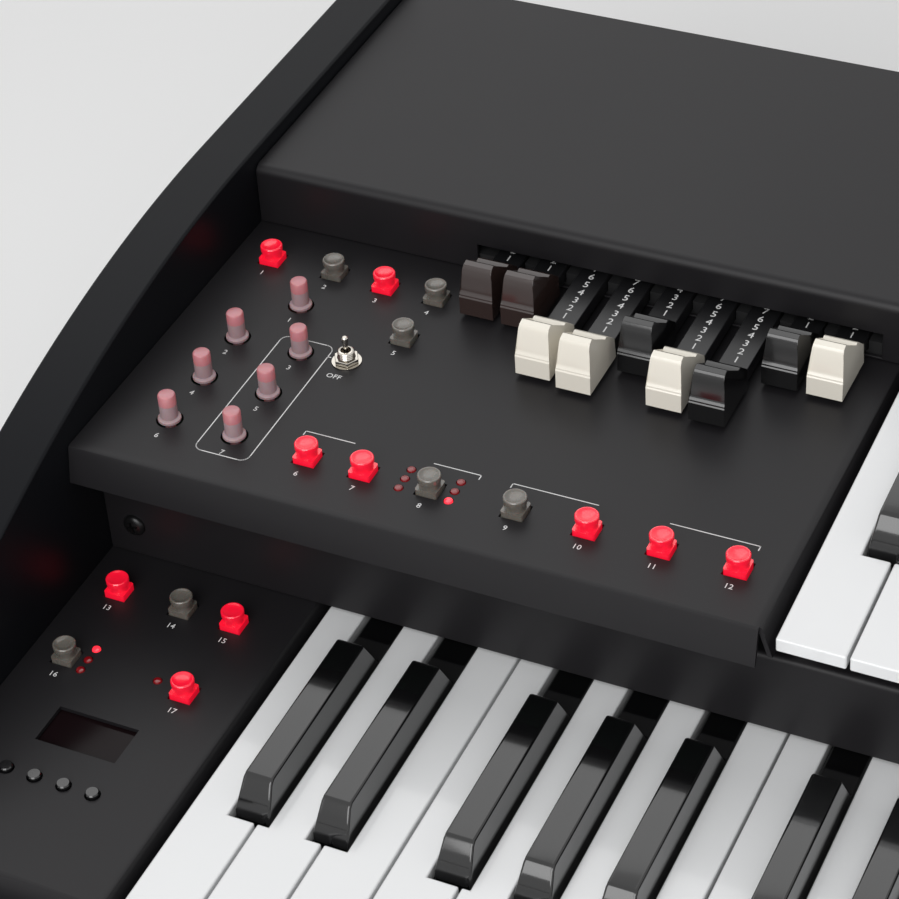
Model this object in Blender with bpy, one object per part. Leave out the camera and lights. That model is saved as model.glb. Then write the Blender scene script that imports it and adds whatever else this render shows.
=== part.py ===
"""Spinet organ: a tabletop console with two manuals, nine drawbars and two control panels.

Metres, +Z up. Every piece is modelled from one datum, the left edge of the first lower key (x),
the line where the fascia stands over the lower keys (y) and the lower key tops (z). An empty
carries the pieces, so that the console stands on z = 0 with its middle at the origin.
"""
import math

import bmesh
import bpy
from mathutils import Matrix, Vector

# Clearances
GAP = 0.0003
SLIDE_CLEARANCE = 0.00035
HOLE_CLEARANCE = 0.0004

# Case
CHEEK_THICKNESS = 0.020
CHEEK_TOP = 0.090
CHEEK_BOTTOM = -0.078
CHEEK_FRONT = -0.172
CHEEK_BACK = 0.262
CHEEK_ARC_RADIUS = 0.480
CHEEK_FLAT_START = 0.118
NOSE_RADIUS = 0.018
REAR_CORNER_RADIUS = 0.012
CHEEK_EDGE = 0.0012
LEFT_BAY = 0.0833
RIGHT_BAY = 0.0025
SHEET = 0.0015
PAN_SHEET = 0.002
PAN_BOTTOM = -0.074
RUNNER_WIDTH = 0.014
RUNNER_HEIGHT = 0.0057
RUNNER_FRONT_INSET = 0.022
BACK_INSET = 0.003
FRONT_SLIP_DEPTH = 0.016
FRONT_SLIP_TOP = -0.014
FRONT_SLIP_INSET = 0.004
SLIP_EDGE = 0.0015

# Hood
HOOD_FRONT = 0.120
HOOD_TOP = 0.084
HOOD_EDGE_RADIUS = 0.0035
HOOD_KEY_EDGE = 0.069
SLOT_LEFT = 0.0045
SLOT_RIGHT = 0.1535
SLOT_BOTTOM = 0.0612
SLOT_TOP = 0.071

# Control panels
UPPER_PANEL_TOP = 0.060
UPPER_PANEL_FRONT = -0.0186
UPPER_PANEL_RIGHT = 0.1605
UPPER_PANEL_BACK = 0.200
SKIRT_DROP = 0.014
SKIRT_SPREAD = 0.0028
FLANGE_DROP = 0.0115
FLANGE_SPREAD = 0.0037
LOWER_PANEL_TOP = 0.003
LOWER_PANEL_FRONT = -0.150
LOWER_PANEL_BACK = 0.020
LOWER_PANEL_MARGIN = 0.0031
LOWER_FLANGE_DROP = 0.023
LOWER_FLANGE_SPREAD = 0.0016
FASCIA_FACE = -0.004
FASCIA_SHEET = 0.002
FASCIA_BOTTOM = 0.0033
FASCIA_TOP = 0.035
FASCIA_FLANGE_BACK = 0.016

# Manuals
KEY_PITCH = 0.0235
KEY_GAP = 0.001
NATURALS = 29
OCTAVE = 7
UPPER_SHIFT = 7
KEY_LENGTH = 0.1724
KEY_THICKNESS = 0.0055
KEY_AXIS_DEPTH = 0.0062
KEY_RAIL_BACK = 0.004
KEY_RAIL_DEPTH = 0.014
LOWER_AXIS_Y = 0.030
UPPER_FRONT_Y = -0.018
UPPER_FRONT_TOP = 0.057
UPPER_TILT = math.radians(3.0)
NOTCH_LENGTH = 0.0435
NOTCH_WIDTH = 0.0144
SHARP_PLACES = (0.88, 2.05, 3.83, 4.96, 6.10)
SHARP_BASE = 0.0128
SHARP_TOP = 0.0098
SHARP_HEIGHT = 0.0112
SHARP_FRONT = 0.046
SHARP_SLOPE = 0.007
SHARP_RAISED_END = 0.125
SHARP_BAR_TOP = 0.002
SHARP_BAR_BOTTOM = 0.013
FRAME_PLATE = 0.0025
FRAME_CLEARANCE = 0.0095
FRAME_FRONT = 0.130
FRAME_BACK = 0.012
FRAME_SIDE_INSET = 0.002
HINGE_BLOCK_FRONT = 0.002
HINGE_BLOCK_BACK = 0.0045
RIB_WIDTH = 0.012
UPPER_RIB_FRONT = 0.060
UPPER_RIB_BACK = 0.150

# Drawbars
DRAWBARS = 9
DRAWBAR_FIRST = 0.010
DRAWBAR_PITCH = 0.0158
DRAWBAR_WIDTH = 0.0126
DRAWBAR_CROWN_WIDTH = 0.0105
DRAWBAR_LENGTH = 0.095
DRAWBAR_HOME = 0.0965
DRAWBAR_STEP = 0.0048
DRAWBAR_PULLED = (0.9, 1.0, 5.9, 6.4, 3.1, 6.0, 6.4, 0.9, 0.9)
BAR_WIDTH = 0.0106
BAR_HEIGHT = 0.0055
BAR_START = 0.020
HOUSING_LEFT = 0.003
HOUSING_RIGHT = 0.155
HOUSING_FRONT = 0.1218
HOUSING_BACK = 0.199
HOUSING_FLOOR = 0.0014
HOUSING_WALL = 0.0015
HOUSING_RIB_TOP = 0.006
DRAWBAR_PROFILE = (
    (0.0, 0.0017), (0.0, 0.0092), (0.0009, 0.0108), (0.0020, 0.0195), (0.0050, 0.0215),
    (0.0110, 0.0125), (0.0155, 0.0150), (0.0220, 0.0100), (0.0230, 0.0017),
)

# Buttons, knobs and lamps on the panels
BUTTON_BASE = 0.0077
BUTTON_HOLE = 0.0085
BUTTON_TRAVEL = 0.0012
BUTTON_DEPTH = 0.008
BUTTON_STEP = 0.0016
BUTTON_NECK = 0.0035
BUTTON_DISC = 0.00395
BUTTON_TOP = 0.0065
BUTTON_DISH = 0.0006
KNOB_HOLE = 0.0047
KNOB_RADIUS = 0.00305
KNOB_FLANGE = 0.004
KNOB_HEIGHT = 0.011
KNOB_DEPTH = 0.008
LAMP_RADIUS = 0.0015
LAMP_HOLE = 0.0017
MENU_RADIUS = 0.0023
MENU_HOLE = 0.0027
TOGGLE_PLACE = (-0.016, 0.0555)
TOGGLE_HOLE = 0.0033
BUSHING_RADIUS = 0.003
BUSHING_TOP = 0.005
NUT_FLAT = 0.004
NUT_HEIGHT = 0.002
LEVER_RADIUS = 0.0008
LEVER_TIP_RADIUS = 0.0012
LEVER_TOP = 0.0105
LEVER_PIVOT = 0.0025
LEVER_WELL = 0.0019

UPPER_BUTTONS = {
    "octave_button_upper": (-0.0678, 0.100),
    "preset_a_button_upper": (-0.0428, 0.100),
    "preset_b_button_upper": (-0.0223, 0.099),
    "manual_button_upper": (-0.0022, 0.099),
    "manual_button_lower": (-0.0030, 0.074),
    "vibrato_button_upper": (-0.0051, 0.0044),
    "vibrato_button_lower": (0.0153, 0.0044),
    "vibrato_type_button": (0.0394, 0.0044),
    "percussion_on_button": (0.0696, 0.0044),
    "percussion_soft_button": (0.0943, 0.0044),
    "percussion_fast_button": (0.1195, 0.0044),
    "percussion_third_button": (0.1449, 0.0044),
}
LOWER_BUTTONS = {
    "octave_button_lower": (-0.0690, -0.0235),
    "preset_a_button_lower": (-0.0440, -0.0235),
    "preset_b_button_lower": (-0.0243, -0.0235),
    "organ_type_button": (-0.0693, -0.0584),
    "pedals_button": (-0.0239, -0.0590),
}
KNOBS = {
    "volume_knob": (-0.0455, 0.0787),
    "click_knob": (-0.0579, 0.0544),
    "drive_level_knob": (-0.0332, 0.0544),
    "percussion_volume_knob": (-0.0579, 0.0303),
    "drive_gain_knob": (-0.0332, 0.0303),
    "assignable_knob": (-0.0579, 0.0059),
    "drive_tone_knob": (-0.0332, 0.0059),
}
UPPER_LAMPS = [(x, y) for x in (0.0295, 0.0473) for y in (0.0112, 0.0063, 0.0014)]
LOWER_LAMPS = [(-0.0618, -0.0514), (-0.0618, -0.0569), (-0.0618, -0.0620), (-0.0351, -0.0571)]
MENU_BUTTONS = [(-0.0611, -0.110), (-0.0505, -0.110), (-0.0397, -0.110), (-0.0290, -0.110)]

# Boards and display
BOARD = 0.0016
UPPER_BOARD_BOTTOM = 0.047
UPPER_BOARD = (-0.078, 0.155, -0.012, 0.108)
LOWER_BOARD_BOTTOM = -0.012
LOWER_BOARD = (-0.080, -0.006, -0.140, -0.008)
MAIN_BOARD = (-0.075, 0.150, 0.150, 0.240)
MAIN_BOARD_LIFT = 0.012
MODULE_HEIGHT = 0.022
BUTTON_PEG_GAP = 0.0003
PEG = 0.003
WINDOW = (-0.0613, -0.0273, -0.0974, -0.0774)
WINDOW_HOLE = (-0.0592, -0.0294, -0.0954, -0.0794)
WINDOW_THICKNESS = 0.002

# Connectors on the back
INLET_X = 0.700
INLET_Z = -0.030
INLET_WIDTH = 0.060
INLET_HEIGHT = 0.030
INLET_DEPTH = 0.024
SOCKET_OFFSET = 0.013
SOCKET_WIDTH = 0.024
SOCKET_HEIGHT = 0.016
SOCKET_DEPTH = 0.017
PIN_LENGTH = 0.009
PIN_RADIUS = 0.0011
PIN_SPREAD = 0.007
ROCKER_OFFSET = 0.017
ROCKER_WIDTH = 0.012
ROCKER_HEIGHT = 0.020
ROCKER_WELL_DEPTH = 0.010
ROCKER_TILT = math.radians(7.0)
JACK_X = 0.480
JACK_Z = -0.040
JACK_PITCH = 0.020
JACKS = 4
JACK_BUSHING = 0.005
JACK_BORE = 0.0033
JACK_DEPTH = 0.020
JACK_BODY_DEPTH = 0.022
JACK_BODY_HEIGHT = 0.020

CASE_LEFT = -LEFT_BAY
LOWER_KEYS_RIGHT = NATURALS * KEY_PITCH
UPPER_KEYS_LEFT = UPPER_SHIFT * KEY_PITCH
CASE_RIGHT = UPPER_KEYS_LEFT + LOWER_KEYS_RIGHT + RIGHT_BAY
INSIDE = (CASE_LEFT + GAP, CASE_RIGHT - GAP)
PAN_TOP = PAN_BOTTOM + PAN_SHEET
FLOOR = PAN_TOP + GAP
GROUND = CHEEK_BOTTOM - GAP - RUNNER_HEIGHT
PANEL_BOTTOM = UPPER_PANEL_TOP - SHEET
UPPER_AXIS = (
    UPPER_FRONT_Y + KEY_LENGTH * math.cos(UPPER_TILT) + KEY_AXIS_DEPTH * math.sin(UPPER_TILT),
    UPPER_FRONT_TOP + KEY_LENGTH * math.sin(UPPER_TILT) - KEY_AXIS_DEPTH * math.cos(UPPER_TILT),
)
BACK_FACE = CHEEK_BACK - BACK_INSET
BACK_INNER = BACK_FACE - SHEET

MATERIALS = {
    "black_panel": ((0.042, 0.041, 0.043), 0.42, 0.0),
    "black_cheek": ((0.020, 0.021, 0.024), 0.40, 0.0),
    "steel_sheet": ((0.30, 0.30, 0.31), 0.45, 1.0),
    "ivory_key": ((0.80, 0.80, 0.79), 0.18, 0.0),
    "ebony_key": ((0.012, 0.012, 0.013), 0.12, 0.0),
    "brown_drawbar": ((0.045, 0.028, 0.024), 0.20, 0.0),
    "ivory_drawbar": ((0.80, 0.76, 0.68), 0.20, 0.0),
    "black_drawbar": ((0.012, 0.012, 0.013), 0.18, 0.0),
    "lit_cap": ((0.80, 0.02, 0.04), 0.30, 0.0),
    "clear_cap": ((0.20, 0.18, 0.16), 0.35, 0.0),
    "milky_knob": ((0.55, 0.45, 0.46), 0.35, 0.0),
    "nickel": ((0.70, 0.68, 0.65), 0.20, 1.0),
    "rubber": ((0.02, 0.02, 0.02), 0.80, 0.0),
    "circuit_board": ((0.02, 0.12, 0.05), 0.55, 0.0),
    "window": ((0.02, 0.01, 0.01), 0.08, 0.0),
    "connector_plastic": ((0.015, 0.015, 0.016), 0.45, 0.0),
    "frame_plastic": ((0.03, 0.03, 0.032), 0.55, 0.0),
}


def clear_scene():
    """Remove every object, so that the script starts from nothing."""
    for item in list(bpy.data.objects):
        bpy.data.objects.remove(item, do_unlink=True)


def material(name):
    """Return the named material, made on first use."""
    made = bpy.data.materials.get(name)
    if made:
        return made
    colour, roughness, metallic = MATERIALS[name]
    made = bpy.data.materials.new(name)
    made.use_nodes = True
    shader = made.node_tree.nodes["Principled BSDF"]
    shader.inputs["Base Color"].default_value = (*colour, 1.0)
    shader.inputs["Roughness"].default_value = roughness
    shader.inputs["Metallic"].default_value = metallic
    return made


def faced_mesh(points, faces):
    """Return a closed bmesh of the points and faces, with its faces turned outwards."""
    shape = bmesh.new()
    corners = [shape.verts.new(point) for point in points]
    for face in faces:
        shape.faces.new([corners[index] for index in face])
    bmesh.ops.recalc_face_normals(shape, faces=shape.faces)
    return shape


def prism(outline, low, high, axis):
    """Extrude a closed outline along X, Y or Z; the outline gives the other two coordinates."""
    place = {
        "X": lambda u, v, w: (w, u, v),
        "Y": lambda u, v, w: (u, w, v),
        "Z": lambda u, v, w: (u, v, w),
    }[axis]
    count = len(outline)
    points = [place(u, v, low) for u, v in outline] + [place(u, v, high) for u, v in outline]
    faces = [tuple(range(count)), tuple(range(2 * count - 1, count - 1, -1))]
    for index in range(count):
        following = (index + 1) % count
        faces.append((index, following, following + count, index + count))
    return faced_mesh(points, faces)


def block(x_low, x_high, y_low, y_high, z_low, z_high):
    """Return a box between two corners."""
    outline = [(x_low, y_low), (x_high, y_low), (x_high, y_high), (x_low, y_high)]
    return prism(outline, z_low, z_high, "Z")


def turned(profile, segments):
    """Spin a profile of (radius, z) points round Z; its first and last points lie on the axis."""
    shape = bmesh.new()
    corners = [shape.verts.new((radius, 0.0, z)) for radius, z in profile]
    edges = [shape.edges.new(pair) for pair in zip(corners, corners[1:])]
    bmesh.ops.spin(shape, geom=corners + edges, cent=(0, 0, 0), axis=(0, 0, 1),
                   angle=2 * math.pi, steps=segments, use_merge=True, use_duplicate=False)
    bmesh.ops.remove_doubles(shape, verts=shape.verts, dist=0.00001)
    bmesh.ops.recalc_face_normals(shape, faces=shape.faces)
    return shape


def rod(radius, low, high, segments=12):
    """Return an upright cylinder."""
    return turned([(0, low), (radius, low), (radius, high), (0, high)], segments)


def moved(shape, x=0.0, y=0.0, z=0.0):
    """Shift a bmesh and return it."""
    bmesh.ops.translate(shape, verts=shape.verts, vec=(x, y, z))
    return shape


def turned_back(shape):
    """Turn a bmesh from upright to pointing back along +Y and return it."""
    bmesh.ops.rotate(shape, verts=shape.verts, cent=(0, 0, 0),
                     matrix=Matrix.Rotation(-math.pi / 2, 3, "X"))
    return shape


def merged(shapes):
    """Put several bmeshes that don't touch into one."""
    together = bmesh.new()
    for shape in shapes:
        scratch = bpy.data.meshes.new("scratch")
        shape.to_mesh(scratch)
        shape.free()
        together.from_mesh(scratch)
        bpy.data.meshes.remove(scratch)
    return together


def arc(centre_u, centre_v, radius, start, end, steps):
    """Return points along an arc, angles in degrees."""
    points = []
    for step in range(steps + 1):
        angle = math.radians(start + (end - start) * step / steps)
        points.append((centre_u + radius * math.cos(angle), centre_v + radius * math.sin(angle)))
    return points


def to_mesh(shape, name):
    """Turn a bmesh into a mesh."""
    mesh = bpy.data.meshes.new(name)
    shape.to_mesh(mesh)
    shape.free()
    return mesh


def helper(shape, name):
    """Return a hidden object that joins to a piece or cuts it."""
    item = bpy.data.objects.new(name, to_mesh(shape, name))
    bpy.context.collection.objects.link(item)
    item.hide_render = True
    item.display_type = "WIRE"
    return item


def built(name, base, joins=(), cuts=()):
    """Return a mesh of the base with shapes joined to it and then cut from it."""
    item = helper(base, name + "_base")
    helpers = []
    for operation, shapes in (("UNION", joins), ("DIFFERENCE", cuts)):
        for shape in shapes:
            helpers.append(helper(shape, name + "_helper"))
            change = item.modifiers.new(operation.lower(), "BOOLEAN")
            change.operation = operation
            change.solver = "EXACT"
            change.object = helpers[-1]
    graph = bpy.context.evaluated_depsgraph_get()
    mesh = bpy.data.meshes.new_from_object(item.evaluated_get(graph))
    mesh.name = name
    for used in helpers + [item]:
        bpy.data.objects.remove(used, do_unlink=True)
    return mesh


class Organ:
    """The console's pieces, all carried by one empty on the datum."""

    def __init__(self):
        self.datum = bpy.data.objects.new("key_datum", None)
        bpy.context.collection.objects.link(self.datum)
        middle = (CASE_LEFT + CASE_RIGHT) / 2
        depth = (CHEEK_FRONT + CHEEK_BACK) / 2
        self.datum.location = (-middle, -depth, -GROUND)

    def add(self, name, mesh, finish, origin=(0, 0, 0), tilt=0.0, local=False, edge=0.0, smooth=0.0):
        """Place a mesh as a named piece; its origin goes on its joint's axis."""
        if isinstance(mesh, bmesh.types.BMesh):
            mesh = to_mesh(mesh, name)
        if not local:
            mesh.transform(Matrix.Translation(-Vector(origin)))
        if smooth:
            mesh.shade_smooth()
            mesh.set_sharp_from_angle(angle=math.radians(smooth))
        item = bpy.data.objects.new(name, mesh)
        bpy.context.collection.objects.link(item)
        item.parent = self.datum
        item.location = origin
        item.rotation_euler = (tilt, 0.0, 0.0)
        if not mesh.materials:
            mesh.materials.append(material(finish))
        if edge:
            rounding = item.modifiers.new("edge", "BEVEL")
            rounding.width = edge
            rounding.segments = 2
            rounding.limit_method = "ANGLE"
            rounding.angle_limit = math.radians(40)
        return item


def cheek_outline():
    """Return the cheek's side view: arched top, round nose, flat back."""
    centre_z = CHEEK_TOP - CHEEK_ARC_RADIUS
    nose_y = CHEEK_FRONT + NOSE_RADIUS
    across = nose_y - CHEEK_FLAT_START
    nose_z = centre_z + math.sqrt((CHEEK_ARC_RADIUS - NOSE_RADIUS) ** 2 - across ** 2)
    meeting = math.degrees(math.atan2(nose_z - centre_z, across))
    corner = REAR_CORNER_RADIUS
    outline = arc(CHEEK_BACK - corner, CHEEK_TOP - corner, corner, 0, 90, 4)
    outline += arc(CHEEK_FLAT_START, centre_z, CHEEK_ARC_RADIUS, 90, meeting, 16)
    outline += arc(nose_y, nose_z, NOSE_RADIUS, meeting, 180, 6)[1:]
    outline += [(CHEEK_FRONT, CHEEK_BOTTOM), (CHEEK_BACK, CHEEK_BOTTOM)]
    return outline


def make_case(organ):
    """Make the cheeks, pan, back, front slip and feet."""
    for name, low in (("left_cheek", CASE_LEFT - CHEEK_THICKNESS), ("right_cheek", CASE_RIGHT)):
        shape = prism(cheek_outline(), low, low + CHEEK_THICKNESS, "X")
        organ.add(name, shape, "black_cheek", edge=CHEEK_EDGE)
    for name, low in (("left_foot_runner", CASE_LEFT - CHEEK_THICKNESS), ("right_foot_runner", CASE_RIGHT)):
        left = low + (CHEEK_THICKNESS - RUNNER_WIDTH) / 2
        shape = block(left, left + RUNNER_WIDTH, CHEEK_FRONT + RUNNER_FRONT_INSET,
                      CHEEK_BACK - REAR_CORNER_RADIUS, GROUND, GROUND + RUNNER_HEIGHT)
        organ.add(name, shape, "rubber")
    shape = block(*INSIDE, CHEEK_FRONT + FRONT_SLIP_INSET, BACK_FACE, PAN_BOTTOM, PAN_TOP)
    organ.add("base_pan", shape, "steel_sheet")
    front = CHEEK_FRONT + FRONT_SLIP_INSET
    shape = block(*INSIDE, front, front + FRONT_SLIP_DEPTH, FLOOR, FRONT_SLIP_TOP)
    organ.add("front_key_slip", shape, "black_panel", edge=SLIP_EDGE)


def make_back(organ):
    """Make the back panel with its connector holes."""
    cuts = []
    half = INLET_WIDTH / 2 + HOLE_CLEARANCE
    rise = INLET_HEIGHT / 2 + HOLE_CLEARANCE
    cuts.append(block(INLET_X - half, INLET_X + half, BACK_INNER - SHEET, BACK_FACE + SHEET,
                      INLET_Z - rise, INLET_Z + rise))
    for index in range(JACKS):
        hole = turned_back(rod(JACK_BUSHING + HOLE_CLEARANCE, -SHEET, 2 * SHEET, 16))
        cuts.append(moved(hole, JACK_X + index * JACK_PITCH, BACK_INNER, JACK_Z))
    sheet = block(*INSIDE, BACK_INNER, BACK_FACE, FLOOR, HOOD_TOP - SHEET - GAP)
    organ.add("back_panel", built("back_panel", sheet, cuts=[merged(cuts)]), "black_panel")


def make_hood(organ):
    """Make the hood: a folded sheet with a slot for the drawbars."""
    outer = HOOD_EDGE_RADIUS
    inner = HOOD_EDGE_RADIUS - SHEET
    outline = [(HOOD_FRONT, UPPER_PANEL_TOP + GAP)]
    outline += arc(HOOD_FRONT + outer, HOOD_TOP - outer, outer, 180, 90, 5)
    outline += [(BACK_FACE, HOOD_TOP), (BACK_FACE, HOOD_TOP - SHEET)]
    outline += arc(HOOD_FRONT + outer, HOOD_TOP - outer, inner, 90, 180, 5)
    outline += [(HOOD_FRONT + SHEET, UPPER_PANEL_TOP + GAP)]
    sheet = prism(outline, *INSIDE, "X")
    slot = block(SLOT_LEFT, SLOT_RIGHT, HOOD_FRONT - SHEET, HOOD_FRONT + 2 * SHEET, SLOT_BOTTOM, SLOT_TOP)
    relief = block(UPPER_KEYS_LEFT - KEY_GAP, INSIDE[1] + SHEET, HOOD_FRONT - SHEET,
                   HOOD_FRONT + 2 * SHEET, PANEL_BOTTOM, HOOD_KEY_EDGE)
    organ.add("top_hood", built("top_hood", sheet, cuts=[merged([slot, relief])]), "black_panel", smooth=30)


def sheet_skirt(edge, top, drop, spread, outward):
    """Return the outline of a flange that hangs from a panel's edge and slopes outwards."""
    inner = edge - outward * SHEET
    return [(inner, top - SHEET / 2), (edge, top), (edge + outward * spread, top - drop),
            (edge + outward * (spread - SHEET), top - drop)]


def panel_holes(buttons, knobs, lamps, top):
    """Return cutters for a panel's square and round holes."""
    low = top - 2 * SHEET
    high = top + SHEET
    half = BUTTON_HOLE / 2
    cuts = [block(x - half, x + half, y - half, y + half, low, high) for x, y in buttons]
    cuts += [moved(rod(KNOB_HOLE, low, high, 20), x, y) for x, y in knobs]
    cuts += [moved(rod(LAMP_HOLE, low, high, 10), x, y) for x, y in lamps]
    return cuts


def make_upper_panel(organ):
    """Make the upper control panel, with its skirt, its side flange and the shelf behind."""
    sheet = block(INSIDE[0], UPPER_PANEL_RIGHT, UPPER_PANEL_FRONT, UPPER_PANEL_BACK,
                  PANEL_BOTTOM, UPPER_PANEL_TOP)
    skirt = prism(sheet_skirt(UPPER_PANEL_FRONT, UPPER_PANEL_TOP, SKIRT_DROP, SKIRT_SPREAD, -1),
                  INSIDE[0], UPPER_PANEL_RIGHT, "X")
    flange = prism(sheet_skirt(UPPER_PANEL_RIGHT, UPPER_PANEL_TOP, FLANGE_DROP, FLANGE_SPREAD, 1),
                   UPPER_PANEL_FRONT, HOOD_FRONT - 2 * GAP, "Y")
    cuts = panel_holes(UPPER_BUTTONS.values(), KNOBS.values(), UPPER_LAMPS, UPPER_PANEL_TOP)
    cuts.append(moved(rod(TOGGLE_HOLE, PANEL_BOTTOM - SHEET, UPPER_PANEL_TOP + SHEET, 16), *TOGGLE_PLACE))
    mesh = built("upper_control_panel", sheet, [skirt, flange], [merged(cuts)])
    organ.add("upper_control_panel", mesh, "black_panel")


def lower_panel_sheet(left, right, flange_side):
    """Return a lower panel's sheet and its flange beside the keys."""
    bottom = LOWER_PANEL_TOP - SHEET
    sheet = block(left, right, LOWER_PANEL_FRONT, LOWER_PANEL_BACK, bottom, LOWER_PANEL_TOP)
    edge = right if flange_side > 0 else left
    outline = sheet_skirt(edge, LOWER_PANEL_TOP, LOWER_FLANGE_DROP, LOWER_FLANGE_SPREAD, flange_side)
    side = prism(outline, LOWER_PANEL_FRONT, LOWER_PANEL_BACK, "Y")
    front = block(left, right, LOWER_PANEL_FRONT, LOWER_PANEL_FRONT + SHEET,
                  LOWER_PANEL_TOP - LOWER_FLANGE_DROP, LOWER_PANEL_TOP - SHEET / 2)
    return sheet, [side, front]


def make_lower_panels(organ):
    """Make the lower control panel and the blank panel at the other end of the keys."""
    sheet, flanges = lower_panel_sheet(INSIDE[0], -LOWER_PANEL_MARGIN, 1)
    cuts = panel_holes(LOWER_BUTTONS.values(), (), LOWER_LAMPS, LOWER_PANEL_TOP)
    low = LOWER_PANEL_TOP - 2 * SHEET
    cuts += [moved(rod(MENU_HOLE, low, LOWER_PANEL_TOP + SHEET, 12), x, y) for x, y in MENU_BUTTONS]
    cuts.append(block(*WINDOW_HOLE, low, LOWER_PANEL_TOP + SHEET))
    mesh = built("lower_control_panel", sheet, flanges, [merged(cuts)])
    organ.add("lower_control_panel", mesh, "black_panel")
    sheet, flanges = lower_panel_sheet(LOWER_KEYS_RIGHT + LOWER_PANEL_MARGIN, INSIDE[1], -1)
    organ.add("lower_right_panel", built("lower_right_panel", sheet, flanges), "black_panel")


def make_fascia(organ):
    """Make the fascia between the manuals, an angle whose flange points back."""
    inner = FASCIA_FACE + FASCIA_SHEET
    outline = [(FASCIA_FACE, FASCIA_BOTTOM), (inner, FASCIA_BOTTOM), (inner, FASCIA_TOP - FASCIA_SHEET),
               (FASCIA_FLANGE_BACK, FASCIA_TOP - FASCIA_SHEET), (FASCIA_FLANGE_BACK, FASCIA_TOP)]
    outline += arc(inner, FASCIA_TOP - FASCIA_SHEET, FASCIA_SHEET, 90, 180, 4)
    organ.add("upper_key_slip", prism(outline, *INSIDE, "X"), "black_panel", smooth=40)


def natural_outline():
    """Return the plan of all the naturals on their rail, notched for the sharps."""
    front = -KEY_LENGTH
    rail_front = KEY_RAIL_BACK - KEY_RAIL_DEPTH
    notch = front + NOTCH_LENGTH
    spans = []
    for octave in range(NATURALS // OCTAVE + 1):
        for place in SHARP_PLACES:
            centre = (octave * OCTAVE + place) * KEY_PITCH
            if centre < (NATURALS - 1) * KEY_PITCH:
                spans.append((centre - NOTCH_WIDTH / 2, centre + NOTCH_WIDTH / 2))
    outline = [(KEY_GAP / 2, KEY_RAIL_BACK), (KEY_GAP / 2, front)]
    for key in range(1, NATURALS):
        seam = key * KEY_PITCH
        span = next((pair for pair in spans if pair[0] < seam < pair[1]), None)
        outline.append((seam - KEY_GAP / 2, front))
        if span:
            outline += [(seam - KEY_GAP / 2, notch), (span[0], notch), (span[0], rail_front)]
            outline += [(span[1], rail_front), (span[1], notch), (seam + KEY_GAP / 2, notch)]
        else:
            outline += [(seam - KEY_GAP / 2, rail_front), (seam + KEY_GAP / 2, rail_front)]
        outline.append((seam + KEY_GAP / 2, front))
    last = NATURALS * KEY_PITCH - KEY_GAP / 2
    return outline + [(last, front), (last, KEY_RAIL_BACK)]


def sharp_centres():
    """Return the middle of each sharp, from the first key's left edge."""
    centres = []
    for octave in range(NATURALS // OCTAVE):
        centres += [(octave * OCTAVE + place) * KEY_PITCH for place in SHARP_PLACES]
    return centres


def sharp_outline():
    """Return the plan of the sharps' bars on their rail."""
    half = SHARP_BASE / 2
    front = -KEY_LENGTH + SHARP_FRONT
    rail_front = KEY_RAIL_BACK - KEY_RAIL_DEPTH
    outline = [(KEY_GAP / 2, KEY_RAIL_BACK), (KEY_GAP / 2, rail_front)]
    for centre in sharp_centres():
        outline += [(centre - half, rail_front), (centre - half, front)]
        outline += [(centre + half, front), (centre + half, rail_front)]
    last = NATURALS * KEY_PITCH - KEY_GAP / 2
    return outline + [(last, rail_front), (last, KEY_RAIL_BACK)]


def sharp_head(centre):
    """Return one sharp's raised head, which narrows upwards."""
    top = KEY_AXIS_DEPTH
    front = -KEY_LENGTH + SHARP_FRONT
    back = -KEY_LENGTH + SHARP_RAISED_END
    low = top - KEY_THICKNESS
    high = top + SHARP_HEIGHT
    side = [(front, low), (front, top), (front + SHARP_SLOPE, high), (back - SHARP_SLOPE, high), (back, low)]
    slope = (SHARP_BASE - SHARP_TOP) / 2 / SHARP_HEIGHT
    points = []
    for sign in (-1, 1):
        for y, z in side:
            half = min(SHARP_BASE / 2, SHARP_BASE / 2 - slope * (z - top))
            points.append((centre + sign * half, y, z))
    count = len(side)
    faces = [tuple(range(count)), tuple(range(2 * count - 1, count - 1, -1))]
    for index in range(count):
        following = (index + 1) % count
        faces.append((index, following, following + count, index + count))
    shape = faced_mesh(points, faces)
    bmesh.ops.triangulate(shape, faces=shape.faces)
    return shape


def make_manual(organ, name, left, axis_y, axis_z, tilt):
    """Make one manual's naturals and sharps, each set turning on its axis."""
    top = KEY_AXIS_DEPTH
    naturals = prism(natural_outline(), top - KEY_THICKNESS, top, "Z")
    bars = prism(sharp_outline(), top - SHARP_BAR_BOTTOM, top - KEY_THICKNESS - KEY_GAP, "Z")
    tails = []
    half = SHARP_BASE / 2
    for centre in sharp_centres():
        tails.append(block(centre - half, centre + half, -KEY_LENGTH + SHARP_FRONT,
                           KEY_RAIL_BACK - KEY_RAIL_DEPTH - KEY_GAP,
                           top - SHARP_BAR_BOTTOM, top - SHARP_BAR_TOP))
    heads = merged([sharp_head(centre) for centre in sharp_centres()])
    sharps = built(name + "_sharps", bars, [merged(tails), heads])
    origin = (left, axis_y, axis_z)
    organ.add(name + "_naturals", naturals, "ivory_key", origin, tilt, local=True)
    organ.add(name + "_sharps", sharps, "ebony_key", origin, tilt, local=True)


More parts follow.
